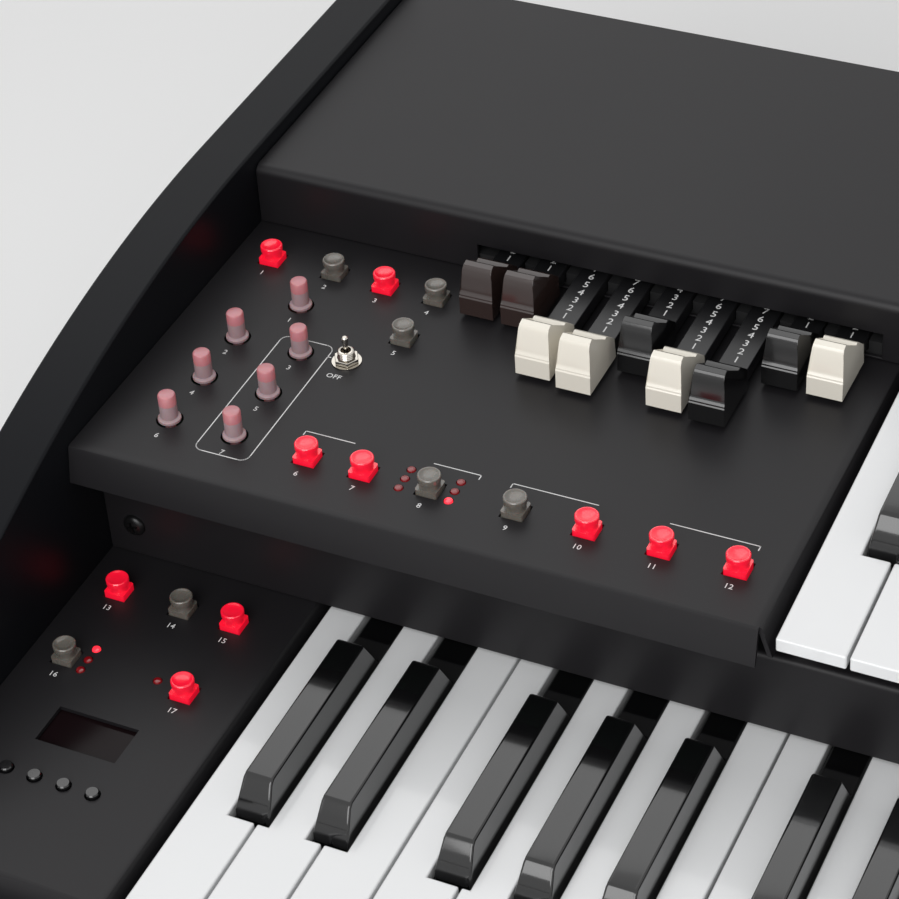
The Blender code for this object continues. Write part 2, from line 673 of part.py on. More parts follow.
def frame_plate():
    """Return a key frame's plate and hinge block in its manual's own coordinates, and the plate's top."""
    right = NATURALS * KEY_PITCH - FRAME_SIDE_INSET
    top = KEY_AXIS_DEPTH - SHARP_BAR_BOTTOM
    plate_top = top - FRAME_CLEARANCE
    plate = block(FRAME_SIDE_INSET, right, -FRAME_FRONT, FRAME_BACK, plate_top - FRAME_PLATE, plate_top)
    hinge = block(FRAME_SIDE_INSET, right, -HINGE_BLOCK_FRONT, HINGE_BLOCK_BACK,
                  plate_top - FRAME_PLATE / 2, top - GAP)
    return plate, hinge, plate_top


def make_key_frames(organ):
    """Make the frame under each manual, with ribs that stand on the pan."""
    axis_z = -KEY_AXIS_DEPTH
    plate, hinge, plate_top = frame_plate()
    span = NATURALS * KEY_PITCH
    ribs = []
    for share in (0.08, 0.5, 0.92):
        middle = span * share
        ribs.append(block(middle - RIB_WIDTH / 2, middle + RIB_WIDTH / 2, -FRAME_FRONT, FRAME_BACK,
                          FLOOR - axis_z, plate_top - FRAME_PLATE / 2))
    mesh = built("lower_key_frame", plate, [hinge, merged(ribs)])
    organ.add("lower_key_frame", mesh, "frame_plastic", (0, LOWER_AXIS_Y, axis_z), local=True)
    plate, hinge, plate_top = frame_plate()
    axis_y, axis_z = UPPER_AXIS
    ribs = []
    slope = math.tan(UPPER_TILT)
    middle_z = axis_z + (plate_top - FRAME_PLATE / 2) / math.cos(UPPER_TILT)
    for share in (0.08, 0.5, 0.92):
        middle = UPPER_KEYS_LEFT + span * share
        outline = [(UPPER_RIB_FRONT, FLOOR), (UPPER_RIB_BACK, FLOOR),
                   (UPPER_RIB_BACK, middle_z + slope * (UPPER_RIB_BACK - axis_y)),
                   (UPPER_RIB_FRONT, middle_z + slope * (UPPER_RIB_FRONT - axis_y))]
        ribs.append(prism(outline, middle - RIB_WIDTH / 2, middle + RIB_WIDTH / 2, "X"))
    to_local = Matrix.Rotation(-UPPER_TILT, 4, "X") @ Matrix.Translation((-UPPER_KEYS_LEFT, -axis_y, -axis_z))
    ribs = merged(ribs)
    bmesh.ops.transform(ribs, matrix=to_local, verts=ribs.verts)
    mesh = built("upper_key_frame", plate, [hinge, ribs])
    organ.add("upper_key_frame", mesh, "frame_plastic", (UPPER_KEYS_LEFT, axis_y, axis_z), UPPER_TILT, True)


def bar_left(index):
    """Return the left side of a drawbar's bar."""
    return DRAWBAR_FIRST + index * DRAWBAR_PITCH + (DRAWBAR_WIDTH - BAR_WIDTH) / 2


def make_drawbar_housing(organ):
    """Make the guide that the nine bars slide in, on the shelf behind the panel."""
    low = UPPER_PANEL_TOP + GAP
    base = block(HOUSING_LEFT, HOUSING_RIGHT, HOUSING_FRONT, HOUSING_BACK, low,
                 UPPER_PANEL_TOP + HOUSING_RIB_TOP)
    cuts = []
    for index in range(DRAWBARS):
        left = bar_left(index) - SLIDE_CLEARANCE
        cuts.append(block(left, left + BAR_WIDTH + 2 * SLIDE_CLEARANCE, HOUSING_FRONT - SHEET,
                          HOUSING_BACK - HOUSING_WALL, low + HOUSING_FLOOR,
                          UPPER_PANEL_TOP + 2 * HOUSING_RIB_TOP))
    mesh = built("drawbar_housing", base, cuts=[merged(cuts)])
    organ.add("drawbar_housing", mesh, "frame_plastic")


def drawbar_knob():
    """Return a drawbar's knob, which narrows towards its crown."""
    half = DRAWBAR_WIDTH / 2
    shoulder = DRAWBAR_PROFILE[1][1]
    crown = max(z for _, z in DRAWBAR_PROFILE)
    narrowing = (DRAWBAR_WIDTH - DRAWBAR_CROWN_WIDTH) / 2 / (crown - shoulder)
    points = []
    for sign in (-1, 1):
        for y, z in DRAWBAR_PROFILE:
            points.append((sign * (half - narrowing * max(0.0, z - shoulder)), y, z))
    count = len(DRAWBAR_PROFILE)
    faces = [tuple(range(count)), tuple(range(2 * count - 1, count - 1, -1))]
    for index in range(count):
        following = (index + 1) % count
        faces.append((index, following, following + count, index + count))
    shape = faced_mesh(points, faces)
    bmesh.ops.triangulate(shape, faces=shape.faces)
    return shape


def make_drawbars(organ):
    """Make the nine drawbars at the places they are pulled to."""
    finishes = ("brown", "brown", "ivory", "ivory", "black", "ivory", "black", "black", "ivory")
    low = HOUSING_FLOOR + 2 * GAP
    for index in range(DRAWBARS):
        bar = block(-BAR_WIDTH / 2, BAR_WIDTH / 2, BAR_START, DRAWBAR_LENGTH, low, low + BAR_HEIGHT)
        mesh = built("drawbar", drawbar_knob(), [bar])
        middle = bar_left(index) + BAR_WIDTH / 2
        front = DRAWBAR_HOME - DRAWBAR_PULLED[index] * DRAWBAR_STEP
        organ.add(f"drawbar_{index + 1}", mesh, finishes[index] + "_drawbar",
                  (middle, front, UPPER_PANEL_TOP), local=True)


def make_buttons(organ):
    """Make the push buttons: a square stem with a dished round cap, one mesh for all."""
    half = BUTTON_BASE / 2
    stem = block(-half, half, -half, half, -BUTTON_DEPTH, BUTTON_STEP)
    head = turned([(0, BUTTON_STEP / 2), (BUTTON_NECK, BUTTON_STEP / 2), (BUTTON_NECK, BUTTON_TOP * 0.6),
                   (BUTTON_DISC, BUTTON_TOP * 0.68), (BUTTON_DISC, BUTTON_TOP),
                   (BUTTON_DISC * 0.8, BUTTON_TOP), (0, BUTTON_TOP - BUTTON_DISH)], 16)
    caps = {"lit_cap": built("button_cap", stem, [head])}
    caps["clear_cap"] = caps["lit_cap"].copy()
    unlit = ("preset_a_button_upper", "manual_button_upper", "manual_button_lower", "vibrato_type_button",
             "percussion_on_button", "preset_a_button_lower", "organ_type_button")
    for places, top in ((UPPER_BUTTONS, UPPER_PANEL_TOP), (LOWER_BUTTONS, LOWER_PANEL_TOP)):
        for name, (x, y) in places.items():
            finish = "clear_cap" if name in unlit else "lit_cap"
            organ.add(name, caps[finish], finish, (x, y, top), local=True)


def make_knobs(organ):
    """Make the small turning knobs, one mesh for all."""
    profile = [(0, -KNOB_DEPTH), (KNOB_RADIUS * 0.6, -KNOB_DEPTH), (KNOB_RADIUS * 0.6, 0.0002),
               (KNOB_FLANGE, 0.0002), (KNOB_FLANGE, 0.0012), (KNOB_RADIUS, 0.0016),
               (KNOB_RADIUS, KNOB_HEIGHT - 0.0006), (KNOB_RADIUS - 0.0006, KNOB_HEIGHT), (0, KNOB_HEIGHT)]
    mesh = to_mesh(turned(profile, 16), "knob")
    for name, (x, y) in KNOBS.items():
        organ.add(name, mesh, "milky_knob", (x, y, UPPER_PANEL_TOP), local=True)


def make_toggle(organ):
    """Make the toggle switch's lever, which tips in the switch's bushing."""
    bottom = LEVER_PIVOT - 0.0008
    profile = [(0, bottom), (LEVER_RADIUS, bottom), (LEVER_RADIUS, LEVER_PIVOT + 0.003),
               (LEVER_TIP_RADIUS, LEVER_TOP - 0.001), (LEVER_TIP_RADIUS * 0.6, LEVER_TOP), (0, LEVER_TOP)]
    shape = moved(turned(profile, 12), z=-LEVER_PIVOT)
    place = (*TOGGLE_PLACE, UPPER_PANEL_TOP + LEVER_PIVOT)
    organ.add("toggle_lever", shape, "nickel", place, local=True, smooth=40)


def peg(x, y, low, high, half=PEG / 2):
    """Return a square post on a board."""
    return block(x - half, x + half, y - half, y + half, low, high)


def board_pegs(buttons, lamps, board_top, panel_top):
    """Return switches under the buttons, lamps through the panel and posts at the corners."""
    low = board_top - BOARD / 2
    switch_top = panel_top - BUTTON_DEPTH - BUTTON_TRAVEL - BUTTON_PEG_GAP
    pegs = [peg(x, y, low, switch_top) for x, y in buttons]
    pegs += [moved(rod(LAMP_RADIUS, low, panel_top + 0.0006, 10), x, y) for x, y in lamps]
    return pegs


def corner_posts(board, board_top, panel_top):
    """Return posts that hang a board from its panel."""
    left, right, front, back = board
    inset = 2 * PEG
    return [peg(x, y, board_top - BOARD / 2, panel_top - SHEET - GAP)
            for x in (left + PEG, right - PEG) for y in (front + inset, back - PEG)]


def make_boards(organ):
    """Make the two control boards and the main board."""
    board_top = UPPER_BOARD_BOTTOM + BOARD
    low = board_top - BOARD / 2
    pegs = board_pegs(UPPER_BUTTONS.values(), UPPER_LAMPS, board_top, UPPER_PANEL_TOP)
    pegs += corner_posts(UPPER_BOARD, board_top, UPPER_PANEL_TOP)
    knob_seat = UPPER_PANEL_TOP - KNOB_DEPTH - GAP
    pegs += [peg(x, y, low, knob_seat, 2 * PEG) for x, y in KNOBS.values()]
    x, y = TOGGLE_PLACE
    switch_top = UPPER_PANEL_TOP - SHEET - 2 * GAP
    switch = block(x - 2 * PEG, x + 2 * PEG, y - 1.2 * PEG, y + 1.2 * PEG, low, switch_top)
    bushing = moved(rod(BUSHING_RADIUS, switch_top - BOARD, UPPER_PANEL_TOP + BUSHING_TOP, 16), x, y)
    nut_radius = NUT_FLAT / math.cos(math.pi / 6)
    nut = moved(rod(nut_radius, UPPER_PANEL_TOP + GAP, UPPER_PANEL_TOP + GAP + NUT_HEIGHT, 6), x, y)
    well = moved(rod(LEVER_WELL, UPPER_PANEL_TOP + 0.0012, UPPER_PANEL_TOP + 2 * BUSHING_TOP, 12), x, y)
    left, right, front, back = UPPER_BOARD
    board = block(left, right, front, back, UPPER_BOARD_BOTTOM, board_top)
    mesh = built("upper_control_board", board, [merged(pegs), switch, bushing, nut], [well])
    organ.add("upper_control_board", mesh, "circuit_board")

    board_top = LOWER_BOARD_BOTTOM + BOARD
    low = board_top - BOARD / 2
    pegs = board_pegs(LOWER_BUTTONS.values(), LOWER_LAMPS, board_top, LOWER_PANEL_TOP)
    pegs += corner_posts(LOWER_BOARD, board_top, LOWER_PANEL_TOP)
    pegs += [moved(rod(MENU_RADIUS, low, LOWER_PANEL_TOP + 0.0015, 12), x, y) for x, y in MENU_BUTTONS]
    window_top = LOWER_PANEL_TOP - SHEET - GAP
    pegs.append(block(*WINDOW, low, window_top - WINDOW_THICKNESS - GAP))
    left, right, front, back = LOWER_BOARD
    board = block(left, right, front, back, LOWER_BOARD_BOTTOM, board_top)
    organ.add("lower_control_board", built("lower_control_board", board, [merged(pegs)]), "circuit_board")
    window = block(*WINDOW, window_top - WINDOW_THICKNESS, window_top)
    organ.add("display_window", window, "window")


def make_main_board(organ):
    """Make the main board on its posts, with the power module and two packages."""
    left, right, front, back = MAIN_BOARD
    low = FLOOR + MAIN_BOARD_LIFT
    high = low + BOARD
    board = block(left, right, front, back, low, high)
    joins = [peg(x, y, FLOOR, low + BOARD / 2) for x in (left + PEG, right - PEG)
             for y in (front + PEG, back - PEG)]
    joins.append(block(left + 0.010, left + 0.070, front + 0.015, back - 0.015, low + BOARD / 2,
                       high + MODULE_HEIGHT))
    joins.append(block(right - 0.080, right - 0.052, front + 0.030, front + 0.058, low + BOARD / 2,
                       high + 2 * BOARD))
    joins.append(block(right - 0.036, right - 0.016, front + 0.030, front + 0.050, low + BOARD / 2,
                       high + BOARD))
    organ.add("main_board", built("main_board", board, [merged(joins)]), "circuit_board")


def make_inlet(organ):
    """Make the mains inlet with its three pins and the rocker switch beside it."""
    half = INLET_WIDTH / 2
    rise = INLET_HEIGHT / 2
    body = block(INLET_X - half, INLET_X + half, BACK_FACE - INLET_DEPTH, BACK_FACE + SHEET,
                 INLET_Z - rise, INLET_Z + rise)
    face = BACK_FACE + SHEET
    socket_x = INLET_X - SOCKET_OFFSET
    rocker_x = INLET_X + ROCKER_OFFSET
    socket = block(socket_x - SOCKET_WIDTH / 2, socket_x + SOCKET_WIDTH / 2, face - SOCKET_DEPTH,
                   face + SHEET, INLET_Z - SOCKET_HEIGHT / 2, INLET_Z + SOCKET_HEIGHT / 2)
    well_half = ROCKER_WIDTH / 2 + SLIDE_CLEARANCE
    well_rise = ROCKER_HEIGHT / 2 + 2 * SLIDE_CLEARANCE
    well = block(rocker_x - well_half, rocker_x + well_half, face - ROCKER_WELL_DEPTH, face + SHEET,
                 INLET_Z - well_rise, INLET_Z + well_rise)
    cavity = built("inlet_body", body, cuts=[merged([socket, well])])
    shape = bmesh.new()
    shape.from_mesh(cavity)
    pins = []
    floor = face - SOCKET_DEPTH
    for offset_x, offset_z in ((-PIN_SPREAD, -0.002), (0.0, 0.002), (PIN_SPREAD, -0.002)):
        pin = turned_back(rod(PIN_RADIUS, -SHEET, PIN_LENGTH, 8))
        pins.append(moved(pin, socket_x + offset_x, floor, INLET_Z + offset_z))
    organ.add("power_inlet", built("power_inlet", shape, [merged(pins)]), "connector_plastic")
    rise = ROCKER_HEIGHT / 2
    thick = ROCKER_WELL_DEPTH / 2
    outline = [(-thick / 2, -rise * 0.5), (0.0005, -rise), (thick * 0.55, -rise), (thick * 0.35, 0.0),
               (thick * 0.55, rise), (0.0005, rise), (-thick / 2, rise * 0.5)]
    rocker = prism(outline, -ROCKER_WIDTH / 2, ROCKER_WIDTH / 2, "X")
    bmesh.ops.rotate(rocker, verts=rocker.verts, cent=(0, 0, 0), matrix=Matrix.Rotation(-ROCKER_TILT, 3, "X"))
    place = (rocker_x, face - thick * 0.6, INLET_Z)
    organ.add("power_rocker", rocker, "connector_plastic", place, local=True)


def make_jacks(organ):
    """Make the row of four jacks on one block, its bushings through the back panel."""
    inner = BACK_INNER - GAP
    half = JACK_PITCH / 2
    left = JACK_X - half
    right = JACK_X + (JACKS - 1) * JACK_PITCH + half
    rise = JACK_BODY_HEIGHT / 2
    body = block(left, right, inner - JACK_BODY_DEPTH, inner, JACK_Z - rise, JACK_Z + rise)
    bushings = []
    bores = []
    for index in range(JACKS):
        x = JACK_X + index * JACK_PITCH
        bushing = turned_back(rod(JACK_BUSHING, -0.002, BACK_FACE + SHEET - inner, 16))
        bushings.append(moved(bushing, x, inner, JACK_Z))
        bore = turned_back(rod(JACK_BORE, 0.0, 2 * JACK_DEPTH, 12))
        bores.append(moved(bore, x, BACK_FACE + SHEET - JACK_DEPTH, JACK_Z))
    organ.add("jack_block", built("jack_block", body, [merged(bushings)], [merged(bores)]),
              "connector_plastic")


def make_organ():
    """Make the whole console."""
    clear_scene()
    organ = Organ()
    make_case(organ)
    make_back(organ)
    make_hood(organ)
    make_upper_panel(organ)
    make_lower_panels(organ)
    make_fascia(organ)
    make_manual(organ, "lower", 0.0, LOWER_AXIS_Y, -KEY_AXIS_DEPTH, 0.0)
    make_manual(organ, "upper", UPPER_KEYS_LEFT, *UPPER_AXIS, UPPER_TILT)
    make_key_frames(organ)
    make_drawbar_housing(organ)
    make_drawbars(organ)
    make_buttons(organ)
    make_knobs(organ)
    make_toggle(organ)
    make_boards(organ)
    make_main_board(organ)
    make_inlet(organ)
    make_jacks(organ)


make_organ()
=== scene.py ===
import logging
import math
from dataclasses import dataclass, field
from enum import Enum
from typing import Iterable, Sequence

import bmesh
import bpy
from mathutils import Matrix, Vector


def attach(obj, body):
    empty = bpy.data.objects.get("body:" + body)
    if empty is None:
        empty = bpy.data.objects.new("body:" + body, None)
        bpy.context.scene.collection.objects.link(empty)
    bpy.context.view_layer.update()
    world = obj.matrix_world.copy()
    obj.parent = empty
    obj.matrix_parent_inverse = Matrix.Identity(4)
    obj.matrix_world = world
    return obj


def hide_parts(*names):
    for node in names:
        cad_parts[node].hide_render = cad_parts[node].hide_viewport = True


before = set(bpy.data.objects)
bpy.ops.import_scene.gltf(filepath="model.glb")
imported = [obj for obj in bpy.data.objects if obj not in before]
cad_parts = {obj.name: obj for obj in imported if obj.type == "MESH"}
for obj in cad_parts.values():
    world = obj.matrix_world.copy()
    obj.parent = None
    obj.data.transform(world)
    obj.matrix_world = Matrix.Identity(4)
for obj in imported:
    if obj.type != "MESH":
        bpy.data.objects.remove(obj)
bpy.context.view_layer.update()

LOG = logging.getLogger("spinet_organ")
BODY = "console"

# The pieces are placed from the key datum, in metres: the first lower key's left edge across, a line
# 4 mm behind the fascia's face along, and the lower key tops in height. This is its place in the frame.
DATUM = Vector((-0.3826, -0.045, 0.084))
KEY_PITCH = 0.0235
KEY_GAP = 0.001
# The thickness of the steel sheets, and the clearance between parts that meet.
SHEET = 0.0015
GAP = 0.0003
# The heights of the two control panels, and the inner ends of the case, left and right.
UPPER_TOP = 0.060
LOWER_TOP = 0.003
INSIDE = (-0.083, 0.8482)
TOGGLE = (-0.016, 0.0555)

MM_PER_M = 1000
COAT_ROUGHNESS = 0.05
GLOW_DEPTH = 0.002
# The print stands just proud of its panel. A character's middle is this share of its size above its foot.
PRINT_HALF_DEPTH = 0.00002
PRINT_LIFT = 0.00003
LINE_LOW = 0.00001
LINE_HIGH = 0.00005
MIDDLE_SHARE = 0.35
MERGE_DISTANCE = 0.000005
SHARP_ANGLE = math.radians(35)
ROUNDED_ANGLE = math.radians(32)

Point2 = tuple[float, float]
Point3 = tuple[float, float, float]


class Axis(Enum):
    """The direction that an outline is extruded along."""

    X = 0
    Y = 1
    Z = 2


class Glow(Enum):
    """Whether a translucent cap or lamp is lit from inside."""

    LIT = "lit"
    DARK = "dark"


def linear(code: str, alpha: float = 1.0) -> tuple[float, float, float, float]:
    """Turn an sRGB hex colour into linear values.

    Args:
        code: The colour as six hex digits after a hash.
        alpha: The fourth value.

    Returns:
        Red, green, blue and alpha, linear.
    """
    values = []
    for start in (1, 3, 5):
        value = int(code[start:start + 2], 16) / 255
        values.append(value / 12.92 if value <= 0.04045 else ((value + 0.055) / 1.055) ** 2.4)
    return (*values, alpha)


def add_node(tree: bpy.types.NodeTree, kind: str, links: dict | None = None,
             **settings: object) -> bpy.types.Node:
    """Add a shader node with its settings and links.

    Args:
        tree: The node tree that it goes in.
        kind: The node's type name.
        links: Input names or numbers, with the output socket or the value for each.
        **settings: Properties of the node itself.

    Returns:
        The new node.
    """
    node = tree.nodes.new(kind)
    for key, value in settings.items():
        setattr(node, key, value)
    for key, value in (links or {}).items():
        if isinstance(value, bpy.types.NodeSocket):
            tree.links.new(value, node.inputs[key])
        else:
            node.inputs[key].default_value = value
    return node


@dataclass(frozen=True)
class Finish:
    """One surface finish, from the real material and how it was made."""

    name: str
    slot: str
    colour: str
    shade: str
    roughness: float
    metallic: float = 0.0
    coat: float = 0.0
    grain_mm: float = 1.0
    grain_depth_mm: float = 0.0
    patch_mm: float = 60.0
    wear: float = 0.04
    glow: str = ""
    glow_strength: float = 0.0
    subsurface: float = 0.0
    specular: float = 0.5

    def make(self) -> bpy.types.Material:
        """Build the material once.

        Returns:
            The material, with mottled colour, uneven roughness and a fine grain.
        """
        made = bpy.data.materials.get(self.name)
        if made:
            return made
        made = bpy.data.materials.new(self.name)
        made.use_nodes = True
        tree = made.node_tree
        shader = tree.nodes["Principled BSDF"]
        place = add_node(tree, "ShaderNodeTexCoord").outputs["Object"]
        patches = add_node(tree, "ShaderNodeTexNoise",
                           {"Vector": place, "Scale": MM_PER_M / self.patch_mm, "Detail": 3.0})
        mottled = add_node(tree, "ShaderNodeMix",
                           {"Factor": patches.outputs["Fac"], "A": linear(self.colour),
                            "B": linear(self.shade)}, data_type="RGBA")
        tree.links.new(mottled.outputs["Result"], shader.inputs["Base Color"])
        rough = add_node(tree, "ShaderNodeMapRange", {"Value": patches.outputs["Fac"],
                                                      "To Min": self.roughness - self.wear,
                                                      "To Max": self.roughness + self.wear})
        tree.links.new(rough.outputs["Result"], shader.inputs["Roughness"])
        shader.inputs["Metallic"].default_value = self.metallic
        shader.inputs["Specular IOR Level"].default_value = self.specular
        shader.inputs["Coat Weight"].default_value = self.coat
        shader.inputs["Coat Roughness"].default_value = COAT_ROUGHNESS
        if self.grain_depth_mm:
            grain = add_node(tree, "ShaderNodeTexNoise",
                             {"Vector": place, "Scale": MM_PER_M / self.grain_mm, "Detail": 2.0})
            bump = add_node(tree, "ShaderNodeBump", {"Height": grain.outputs["Fac"], "Strength": 1.0,
                                                     "Distance": self.grain_depth_mm / MM_PER_M})
            tree.links.new(bump.outputs["Normal"], shader.inputs["Normal"])
        if self.subsurface:
            shader.inputs["Subsurface Weight"].default_value = self.subsurface
            shader.inputs["Subsurface Scale"].default_value = GLOW_DEPTH
        if self.glow:
            shader.inputs["Emission Color"].default_value = linear(self.glow)
            shader.inputs["Emission Strength"].default_value = self.glow_strength
        return made


# Powder-coated steel: a satin black with a fine orange peel that softens every reflection.
POWDER_COAT = Finish("powder_coated_steel", "black_panel", "#19181a", "#1d1c1e", 0.42, grain_mm=0.5,
                     grain_depth_mm=0.004, specular=0.24)
# Lacquered board: a smoother, slightly bluish black on the cheeks.
LACQUER = Finish("lacquered_board", "black_cheek", "#101114", "#131417", 0.38, grain_mm=0.9,
                 grain_depth_mm=0.003, specular=0.10)
# Moulded and polished ABS of the white keys: bright, cool white with a clear gloss.
WHITE_KEY = Finish("polished_white_key", "ivory_key", "#e6e7e8", "#e2e3e4", 0.16, coat=0.3, wear=0.03)
# Moulded and polished ABS of the sharps: deep black with sharp reflections.
BLACK_KEY = Finish("polished_black_key", "ebony_key", "#0b0b0c", "#0e0e0f", 0.12, coat=0.4, wear=0.02)
# Polished phenolic-like plastic of the drawbar knobs in three colours.
BROWN_KNOB = Finish("polished_brown_drawbar", "brown_drawbar", "#352825", "#2e2321", 0.18, coat=0.3,
                    wear=0.03)
IVORY_KNOB = Finish("polished_ivory_drawbar", "ivory_drawbar", "#ebe6da", "#e6e0d3", 0.20, coat=0.3,
                    wear=0.03)
BLACK_KNOB = Finish("polished_black_drawbar", "black_drawbar", "#0d0d0e", "#101011", 0.16, coat=0.3,
                    wear=0.03)
# Moulded bar behind each knob: a plain dark plastic.
BAR_PLASTIC = Finish("moulded_drawbar_stem", "black_drawbar", "#141415", "#18181a", 0.35)
# Translucent acrylic cap over a red lamp: saturated red, brighter where it is thick.
LIT_CAP = Finish("lit_acrylic_cap", "lit_cap", "#d81430", "#e81a38", 0.22, coat=0.5, patch_mm=4.0,
                 glow="#ff1030", glow_strength=0.42, subsurface=0.2)
# The same acrylic over a dark lamp: warm smoky grey.
DARK_CAP = Finish("smoky_acrylic_cap", "clear_cap", "#6f6a63", "#625d57", 0.28, coat=0.4, patch_mm=4.0,
                  subsurface=0.2)
# Frosted acrylic shaft of the small knobs: milky pink, lit from below.
FROSTED = Finish("frosted_acrylic_shaft", "milky_knob", "#a8969a", "#988286", 0.35, coat=0.2, patch_mm=5.0,
                 glow="#ff2030", glow_strength=0.02, subsurface=0.4)
FROSTED_TIP = Finish("lit_acrylic_tip", "milky_knob", "#b9858b", "#a9747a", 0.3, coat=0.3, patch_mm=5.0,
                     glow="#ff2030", glow_strength=0.08, subsurface=0.4)
# Nickel plate on turned brass: warm, bright and slightly dulled.
NICKEL = Finish("nickel_plate", "nickel", "#c9c4bb", "#b9b4ab", 0.2, metallic=1.0, patch_mm=6.0, wear=0.05)
# Zinc-plated steel of the base pan: a dull, cool grey.
ZINC = Finish("zinc_plated_steel", "steel_sheet", "#8d8e90", "#7d7e80", 0.42, metallic=1.0, patch_mm=25.0,
              wear=0.08)
# Blackened steel of the fascia screws: dark, with a dull metal shine.
BLACK_SCREW = Finish("blackened_screw", "black_panel", "#1b1b1c", "#252526", 0.3, metallic=0.6,
                     patch_mm=3.0)
# Moulded rubber, matt and slightly pitted.
RUBBER = Finish("moulded_rubber", "rubber", "#141414", "#1a1a1a", 0.8, grain_mm=0.6, grain_depth_mm=0.02)
# Glass-fibre laminate with a green solder resist.
LAMINATE = Finish("glass_fibre_laminate", "circuit_board", "#0f3d22", "#12472a", 0.5, patch_mm=12.0)
# Smoked acrylic window with a faint red cast.
SMOKED = Finish("smoked_acrylic_window", "window", "#120a0c", "#160c0e", 0.14, wear=0.02, specular=0.08)
# Moulded glass-filled nylon of sockets and key frames.
NYLON = Finish("moulded_nylon", "connector_plastic", "#121213", "#181819", 0.5, grain_mm=0.8,
               grain_depth_mm=0.01)
FRAME_NYLON = Finish("moulded_key_frame", "frame_plastic", "#1a1a1b", "#202021", 0.55, grain_mm=1.5,
                     grain_depth_mm=0.01)
# Screen-printed ink: matt white, very thin.
INK = Finish("screen_print_ink", "black_panel", "#e4e4e4", "#dcdcdc", 0.6, patch_mm=3.0)
# Small indicator lamps of clear red epoxy, dark and lit.
LAMP_DARK = Finish("red_epoxy_lamp", "lit_cap", "#5a0a10", "#6a0c12", 0.15, coat=0.5, patch_mm=2.0,
                   glow="#ff1020", glow_strength=0.08)
LAMP_LIT = Finish("lit_epoxy_lamp", "lit_cap", "#ff3040", "#ff4050", 0.15, coat=0.5, patch_mm=2.0,
                  glow="#ff2838", glow_strength=1.0)


def bridged(rows: Sequence[Sequence[Point3]], split_ends: bool = False) -> bmesh.types.BMesh:
    """Close the space between two matching loops of points.

    Args:
        rows: The two loops.
        split_ends: Whether the end faces are cut into triangles.

    Returns:
        A closed bmesh.
    """
    shape = bmesh.new()
    first, second = [[shape.verts.new(point) for point in row] for row in rows]
    ends = [shape.faces.new(first), shape.faces.new(list(reversed(second)))]
    for index in range(len(first)):
        following = (index + 1) % len(first)
        shape.faces.new((first[index], first[following], second[following], second[index]))
    if split_ends:
        bmesh.ops.triangulate(shape, faces=ends)
    bmesh.ops.recalc_face_normals(shape, faces=shape.faces)
    return shape


def prism(outline: Sequence[Point2], low: float, high: float, axis: Axis) -> bmesh.types.BMesh:
    """Extrude a closed outline.

    Args:
        outline: The points, in the other two axes in order.
        low: Where the extrusion starts.
        high: Where it ends.
        axis: The axis that it runs along.

    Returns:
        A closed bmesh.
    """
    place = axis.value
    return bridged([[(*point[:place], level, *point[place:]) for point in outline] for level in (low, high)])


def block(low: Point3, high: Point3) -> bmesh.types.BMesh:
    """Return a box between two corners."""
    outline = [(low[0], low[1]), (high[0], low[1]), (high[0], high[1]), (low[0], high[1])]
    return prism(outline, low[2], high[2], Axis.Z)


def arc(centre: Point2, radius: float, start: float, end: float, steps: int) -> list[Point2]:
    """Return points along an arc, with its angles in degrees."""
    angles = [math.radians(start + (end - start) * step / steps) for step in range(steps + 1)]
    return [(centre[0] + radius * math.cos(a), centre[1] + radius * math.sin(a)) for a in angles]


def turned(profile: Sequence[Point2], segments: int = 32) -> bmesh.types.BMesh:
    """Spin a profile of radius and height round Z.

    Args:
        profile: Points from the axis at the bottom to the axis at the top.
        segments: Sides round the axis.

    Returns:
        A closed bmesh.
    """
    shape = bmesh.new()
    corners = [shape.verts.new((radius, 0.0, height)) for radius, height in profile]
    edges = [shape.edges.new(pair) for pair in zip(corners, corners[1:])]
    bmesh.ops.spin(shape, geom=corners + edges, cent=(0, 0, 0), axis=(0, 0, 1), angle=2 * math.pi,
                   steps=segments, use_merge=True, use_duplicate=False)
    bmesh.ops.remove_doubles(shape, verts=shape.verts, dist=MERGE_DISTANCE)
    bmesh.ops.recalc_face_normals(shape, faces=shape.faces)
    return shape


def to_mesh(shape: bmesh.types.BMesh, name: str) -> bpy.types.Mesh:
    """Turn a bmesh into a mesh and free it."""
    mesh = bpy.data.meshes.new(name)
    shape.to_mesh(mesh)
    shape.free()
    return mesh


def piece(name: str, mesh: bpy.types.Mesh | bmesh.types.BMesh, finish: Finish, body: str = BODY,
          place: Sequence[float] = (0.0, 0.0, 0.0), tilt: float = 0.0, edge: float = 0.0,
          replaces: Sequence[str] = (), segments: int = 2) -> bpy.types.Object:
    """Add a piece to the model, in datum coordinates.

    Args:
        name: The piece's name.
        mesh: Its shape.
        finish: Its finish.
        body: The CAD body that it rides on.
        place: Its origin, from the datum.
        tilt: Its turn about X, in radians.
        edge: The width of the rounding on its edges, in metres.
        replaces: The CAD nodes that it stands for.
        segments: The steps of that rounding.

    Returns:
        The object.
    """
    if isinstance(mesh, bmesh.types.BMesh):
        mesh = to_mesh(mesh, name)
    if not mesh.materials:
        mesh.materials.append(finish.make())
    mesh.shade_smooth()
    mesh.set_sharp_from_angle(angle=SHARP_ANGLE)
    item = bpy.data.objects.new(name, mesh)
    bpy.context.scene.collection.objects.link(item)
    item.location = DATUM + Vector(place)
    item.rotation_euler = (tilt, 0.0, 0.0)
    if edge:
        rounding = item.modifiers.new("rounding", "BEVEL")
        rounding.width = edge
        rounding.segments = segments
        rounding.limit_method = "ANGLE"
        rounding.angle_limit = ROUNDED_ANGLE
        rounding.harden_normals = True
    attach(item, body)
    if replaces:
        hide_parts(*replaces)
    LOG.info("%s on %s", name, body)
    return item


